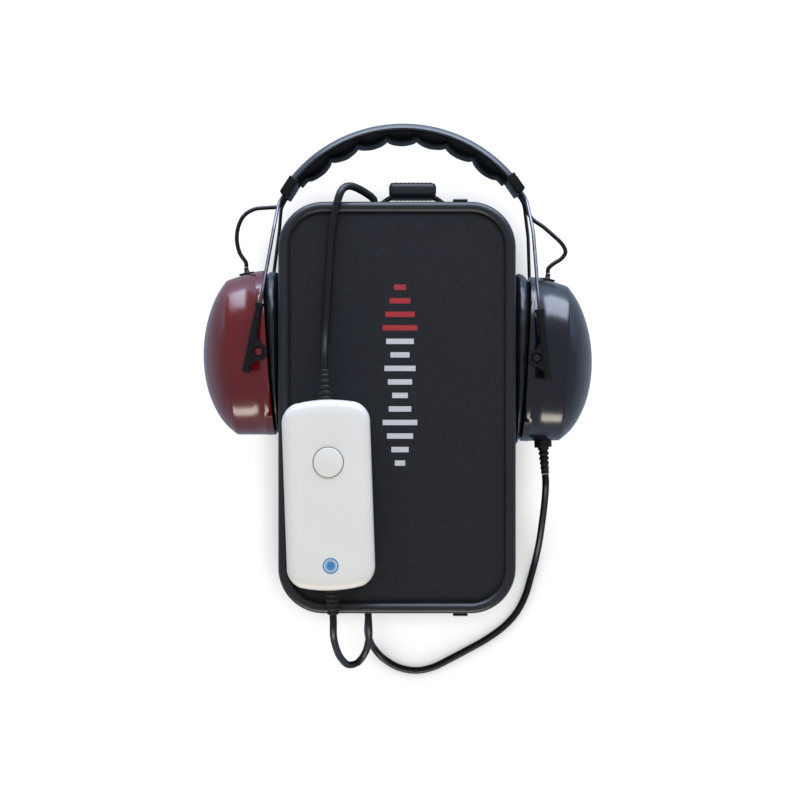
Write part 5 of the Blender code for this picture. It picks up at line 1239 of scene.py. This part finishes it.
def makeSleeve(name, side, level, way):
    top = side["sleeve"] + upright * way * headset["sleeveHeight"]
    down, off = side["down"], side["off"]
    hole = Vector((side["pin"].x, side["pin"].y, top.z))
    collar, tall = sleeves["collar"], sleeves["collarHeight"]
    radius, long = sleeves["radius"], sleeves["length"]
    tube = drawn(turned, [
        (0.0, 0.0), (collar - hair, 0.0), (collar, hair), (collar, tall - hair), (collar - hair, tall),
        (radius, tall + hair), (radius, long - hair), (radius - hair, long), (0.0, long)], top, down, 40)
    foot = top + down * headset["sleeveAlong"]
    outline = [foot - down * sleeves["run"], foot + down * sleeves["run"]]
    for n in range(25):
        turn = math.pi * n / 24
        outline.append(hole + sleeves["lobe"] * (down * math.cos(turn) - off * math.sin(turn)))
    middle = sum(outline, Vector()) / len(outline)
    high, small = sleeves["thickness"] / 2, sleeves["shrink"]
    lobe = drawn(loftRings, [
        [middle + (point - middle) * shrink + upright * lift for point in outline]
        for lift, shrink in ((-high, small), (hair - high, 1.0), (high - hair, 1.0), (high, small))])
    bore = drawn(rod, sleeves["bore"], -tall, long - sleeves["endWall"], top, down, 24)
    eye = drawn(rod, sleeves["hole"], -2 * high, 2 * high, hole, upright, 40)
    made = carved(tube, ("UNION", lobe), ("DIFFERENCE", bore), ("DIFFERENCE", eye))
    settle(made, f"{name}{level.title()}Sleeve", "acetal", f"{name}_sleeves",
           f"{name}_sleeve_{level}", 40.0)


def cupRing(side, depth, halfHeight, halfBreadth, sag=0.0, count=cups["points"]):      # a superellipse
    ring = []
    for n in range(count):
        turn = 2 * math.pi * n / count
        c, s = math.cos(turn), math.sin(turn)
        height = halfHeight * math.copysign(abs(c) ** (2 / cups["power"]), c)
        breadth = halfBreadth * math.copysign(abs(s) ** (2 / cups["power"]), s)
        ring.append(side["mouth"] + side["away"] * depth + side["up"] * (height - sag) + upright * breadth)
    return ring


def makeCup(name, side):
    tall, wide = headset["cupHeight"] / 2, headset["cupBreadth"] / 2
    deep, wall = headset["cupDepth"], cups["wall"]
    dome = smoothRoute([(a, b, 0.0) for a, b in cups["dome"]], 0.02)[1:-1]
    shares = list(cups["skirt"]) + [(point.x, point.y) for point in dome] + [(0.9995, 0.03)]
    shares = [(a, b, 0.0) for a, b in shares]
    rings = [cupRing(side, a * deep, b * tall - inset, b * wide - inset, cups["sag"] * a * a)
             for a, b, inset in [(a, b, wall) for a, b in cups["inside"]] + shares]
    bm = bmesh.new()
    loftRings(bm, rings)
    pin, edge, reach = cups["pin"], cups["pinEdge"], wall / 2 + cups["pinReach"]
    profile = [(0.0, 0.0), (pin, 0.0), (pin, reach - edge), (pin - edge, reach), (0.0, reach)]
    for way in (-1, 1):
        turned(bm, profile, side["pin"] + upright * way * (wide - wall / 2), upright * way, 40)
    colour = {"red": "redAbs", "blue": "navyAbs"}[name]
    settle(meshOf(bm), f"{name}Cup", colour, f"{name}_cup", f"{name}_cup_shell", 50.0)


def cushionSection(name):      # depth share, inset, flare and fold, out from the cup's mouth and back inside
    tuck, seam, seamPower = cushions["seam"]
    start, run, nosePower = cushions["nose"]
    fade, within = cushions["foldFade"]
    section = []
    for n in range(11):      # rounded off a little by the cup, and more where it lies on the case's wall
        share = n / 10
        curl = tuck * max(0.0, (seam - share) / seam) ** seamPower
        if share > 0.5:
            curl = max(0.0, (2 * share - start) / run) ** nosePower
        flare = cushions["flare"][name] * min(1.0, share * cushions["flareRise"])
        section.append((share, cushions["inset"] + curl * cushions["round"], flare, 1.0 - share * fade))
    return section + [(share, 2 * cushions["inset"] + cushions["width"] - inset, -flare, within)
                      for share, inset, flare, _ in section[::-1]]


def makeCushion(name, side):
    face = side["out"] * (case["width"] / 2 + hair)
    tall, wide = headset["cupHeight"] / 2, headset["cupBreadth"] / 2
    rings = []
    for share, inset, flare, fold in cushionSection(name):
        ring = cupRing(side, -hair, tall - inset + flare, wide - inset, 0.0, cushions["points"])
        for point in ring:
            x, y, z = point
            crease = softly((y, z, share * 0.004), cushions["foldSize"], cushions["foldSeed"][name])
            crease += cushions["wrinkle"] * softly((y * 0.3, z * 0.3, share * 0.012),
                                                   cushions["wrinkleSize"], 1.0)
            inward = (Vector((x, side["mouth"].y, side["mouth"].z)) - point).normalized()
            point += inward * cushions["fold"] * abs(crease) * fold * 2.0
            point.x += share * (face - point.x)
        rings.append(ring)
    cushion = settle(drawn(loftRings, rings, True), f"{name}EarCushion", "vinyl", f"{name}_cup",
                     f"{name}_ear_cushion", 60.0)
    inset, deep = cushions["foamInset"], cushions["foam"]
    foam = [cupRing(side, -depth, tall - inset - edge, wide - inset - edge)
            for depth, edge in ((hair, 0.0), (deep * 0.8, 0.0), (deep, cushions["foamEdge"]))]
    disc = settle(drawn(loftRings, foam), f"{name}Foam", "foam", f"{name}_cup", (), 40.0)


def makeGrommet(name, side):
    radius, tall = headset["grommetRadius"], headset["grommetHeight"]
    stem = cords["cross"]["diameter"] / 2 + hair / 3
    foot, rim = -cups["grommetSink"], cups["grommetThickness"] - cups["grommetSink"]
    under, over = [radius * share for share in cups["grommetEdge"]]
    wide, narrow = [stem * share for share in cups["grommetNeck"]]
    profile = [(0.0, foot), (under, foot), (radius, foot + hair), (radius, rim - hair), (over, rim),
               (wide, rim + hair), (narrow, rim + 3 * hair), (stem, tall), (0.0, tall)]
    mesh = drawn(turned, profile, side["grommet"], side["up"] + side["away"] * cups["slope"], 40)
    settle(mesh, f"{name}Grommet", "rubber", f"{name}_cup", f"{name}_cord_grommet", 45.0)


def makeCupBoot():
    relief = reliefs["cup"]
    collar, tall = relief["collar"], relief["collarHeight"]
    foot, tip = -cups["grommetSink"] * relief["sink"], cords["lead"]["diameter"] / 2 + hair
    profile = [(0.0, foot), (collar * relief["collarEdge"], foot), (collar, foot + hair),
               (collar, tall - hair), (collar - hair, tall)]
    profile += bootProfile(tall, relief["radius"], relief["length"] - tall, tip)
    mesh = drawn(turned, profile, cupReliefFoot, cupReliefWay, 40)
    settle(mesh, "cupBoot", "rubber", "blue_cup", "blue_lead_strain_relief", 40.0)


makeCover()
makeStitches()
makePad()
for name, side in sides.items():
    makeClip(name, side)
    makeWires(name, side)
    makeSleeve(name, side, "lower", -1)
    makeSleeve(name, side, "upper", 1)
    makeCup(name, side)
    makeCushion(name, side)
    makeGrommet(name, side)
    dress("acetal", f"{name}_cup_baffle", f"{name}_receiver")
makeCupBoot()
dress("steel", "headband_spring")
dress("rubber", "headband_crossover_wire")
print("headset: band, clips, wires, sleeves, cups, cushions")


# Zip sliders with their pulls, cord ties, USB plug and the lid's print
sliders = {
    "x": 0.0405, "size": (0.0095, 0.0019, 0.0062), "low": 0.0849, "off": 0.0003, "bevel": 0.0009,
    "channel": (0.36, 0.64), "channelDepth": 0.0009, "channelOver": 0.0002,
    "pullShape": ((-0.5, 0.93), (-0.36, 1.0), (0.36, 1.0), (0.5, 0.93)), "eye": 0.0013, "eyeHeight": 0.0028,
    "window": (0.0009, -0.003, 0.0055), "windowBevel": 0.0006, "through": 0.003, "pullRound": 0.32,
}
ties = {"width": 0.012, "thickness": 0.0012, "wallShare": 0.85, "corner": 0.003}
plug = {
    "wall": 0.0005, "bevel": 0.0016, "grips": 5, "gripFrom": 0.52, "gripPitch": 0.075,
    "grip": (0.0004, 0.0011, 0.001), "shellBevel": 0.0004, "mouth": 0.003, "latch": (0.0011, 0.0055, 0.0077),
    "tongue": 0.0022, "tongueEnd": 0.0032, "tongueSide": 1.4,
}
levels = {      # a plain column of sound-level bars on the lid, red above and pale grey below
    "x": 0.0019, "top": 0.0765, "pitch": 0.0086, "wide": 0.022, "tall": 0.0034, "ink": 0.00008, "reds": 4,
    "shares": (0.35, 0.6, 0.85, 1.0, 0.8, 0.55, 0.9, 0.7, 0.45, 0.65, 1.0, 0.75, 0.5, 0.3),
}


def makeSlider(name, way):
    long, deep, tall = sliders["size"]
    x, y, low = sliders["x"], way * (case["length"] / 2 + sliders["off"]), sliders["low"]
    near, far = sorted((y, y + way * deep))
    body = drawn(slab, (x - long / 2, near, low), (x + long / 2, far, low + tall), sliders["bevel"], 4)
    near, far = sorted((y, y + way * sliders["channelDepth"]))
    under, over = [low + tall * share for share in sliders["channel"]]
    channel = drawn(slab, (x - long, near - sliders["channelOver"], under),
                    (x + long, far + sliders["channelOver"], over))
    settle(carved(body, ("DIFFERENCE", channel)), f"{name}Slider", "gunmetal", f"slider_{name}",
           f"zip_slider_{name}", 40.0)


def pullEyes(bm, middle, low):
    through = sliders["through"]
    wide, under, over = sliders["window"]
    eye = (middle.x, middle.y, low + sliders["eyeHeight"])
    rod(bm, sliders["eye"], -through, through, eye, (0.0, 1.0, 0.0), 24)
    slab(bm, middle + Vector((-wide, -through, under)), middle + Vector((wide, through, over)),
         sliders["windowBevel"], 3)


def makePull(name):
    low, high = [Vector(corner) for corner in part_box(f"zip_pull_{name}")]
    middle, size = (low + high) / 2, high - low
    outline = roundedOutline(size.x / 2, size.z / 2, size.x * sliders["pullRound"], 8, (2, 6))
    rings = []
    for across, shrink in sliders["pullShape"]:
        rings.append([middle + Vector((p.x * shrink, across * size.y, p.y * (0.01 + shrink * 0.99)))
                      for p in outline])
    pull = carved(drawn(loftRings, rings), ("DIFFERENCE", drawn(pullEyes, middle, low.z)))
    settle(pull, f"{name}Pull", "gunmetal", f"pull_{name}", f"zip_pull_{name}", 40.0)


def makeTie(name):
    low, high = [Vector(corner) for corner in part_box(f"{name}_coil_tie")]
    middle, half = (low + high) / 2, (high - low) / 2
    wall = ties["wallShare"] * ties["thickness"]
    rings = []
    for across, inset in ((-1, 0.0), (-1, wall), (1, wall), (1, 0.0)):
        corner = min(half.z - inset, ties["corner"] - inset / 2)
        outline = roundedOutline(half.y - inset, half.z - inset, corner, 8, (14, 3))
        rings.append([middle + Vector((across * ties["width"] / 2, p.x, p.y)) for p in outline])
    settle(drawn(loftRings, rings, True), f"{name}Tie", "webbing", "case",
           f"{name}_coil_tie", 40.0)


def plugGrips(bm, low, high):
    deep, wide, over = plug["grip"]
    for n in range(plug["grips"]):
        y = low[1] + (high[1] - low[1]) * (plug["gripFrom"] + plug["gripPitch"] * n)
        for x in (low[0], high[0]):
            slab(bm, (x - deep, y, low[2] - over), (x + deep, y + wide, high[2] + over))


def plugMouth(bm, low, high):
    wall = plug["wall"]
    wide, start, end = plug["latch"]
    slab(bm, (low[0] + wall, low[1] - wall, low[2] + wall),
         (high[0] - wall, high[1] - plug["mouth"], high[2] - wall))
    for share in (0.3, 0.7):      # the two latch windows
        x = low[0] * (1 - share) + high[0] * share
        slab(bm, (x - wide, low[1] + start, low[2] - wall), (x + wide, low[1] + end, high[2] + wall))


def makePlug():
    low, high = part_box("usb_plug_body")
    body = carved(drawn(slab, low, high, plug["bevel"], 5), ("DIFFERENCE", drawn(plugGrips, low, high)))
    settle(body, "plugBody", "rubber", "case", "usb_plug_body", 40.0)
    low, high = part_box("usb_plug_shell")
    shell = carved(drawn(slab, low, high, plug["shellBevel"], 2), ("DIFFERENCE", drawn(plugMouth, low, high)))
    settle(shell, "plugShell", "tin", "case", "usb_plug_shell", 40.0)
    wall, inset = plug["wall"], plug["wall"] * plug["tongueSide"]
    tongue = drawn(slab, (low[0] + inset, low[1] + wall, low[2] + plug["tongue"]),
                   (high[0] - inset, high[1] - plug["tongueEnd"], high[2] - wall))
    settle(tongue, "plugTongue", "acetal", "case", (), 40.0)


def makeLevels(name, first, last):
    bm = bmesh.new()
    for n in range(first, last):
        wide, y = levels["wide"] * levels["shares"][n] / 2, levels["top"] - n * levels["pitch"]
        for vert in bmesh.ops.create_grid(bm, x_segments=16, y_segments=4, size=1.0)["verts"]:
            x, up = levels["x"] + vert.co.x * wide, y + vert.co.y * levels["tall"] / 2
            vert.co = (x, up, lidSkin(x, up) + levels["ink"])
    settle(meshOf(bm, False), f"{name}LevelPrint", f"{name}Ink", "lid", (), 60.0)


for name, way in (("top", 1), ("bottom", -1)):
    makeSlider(name, way)
    makePull(name)
makeTie("usb")
makeTie("lead")
makePlug()
makeLevels("red", 0, levels["reds"])
makeLevels("pale", levels["reds"], len(levels["shares"]))
print("small parts: sliders, pulls, ties, plug, print")
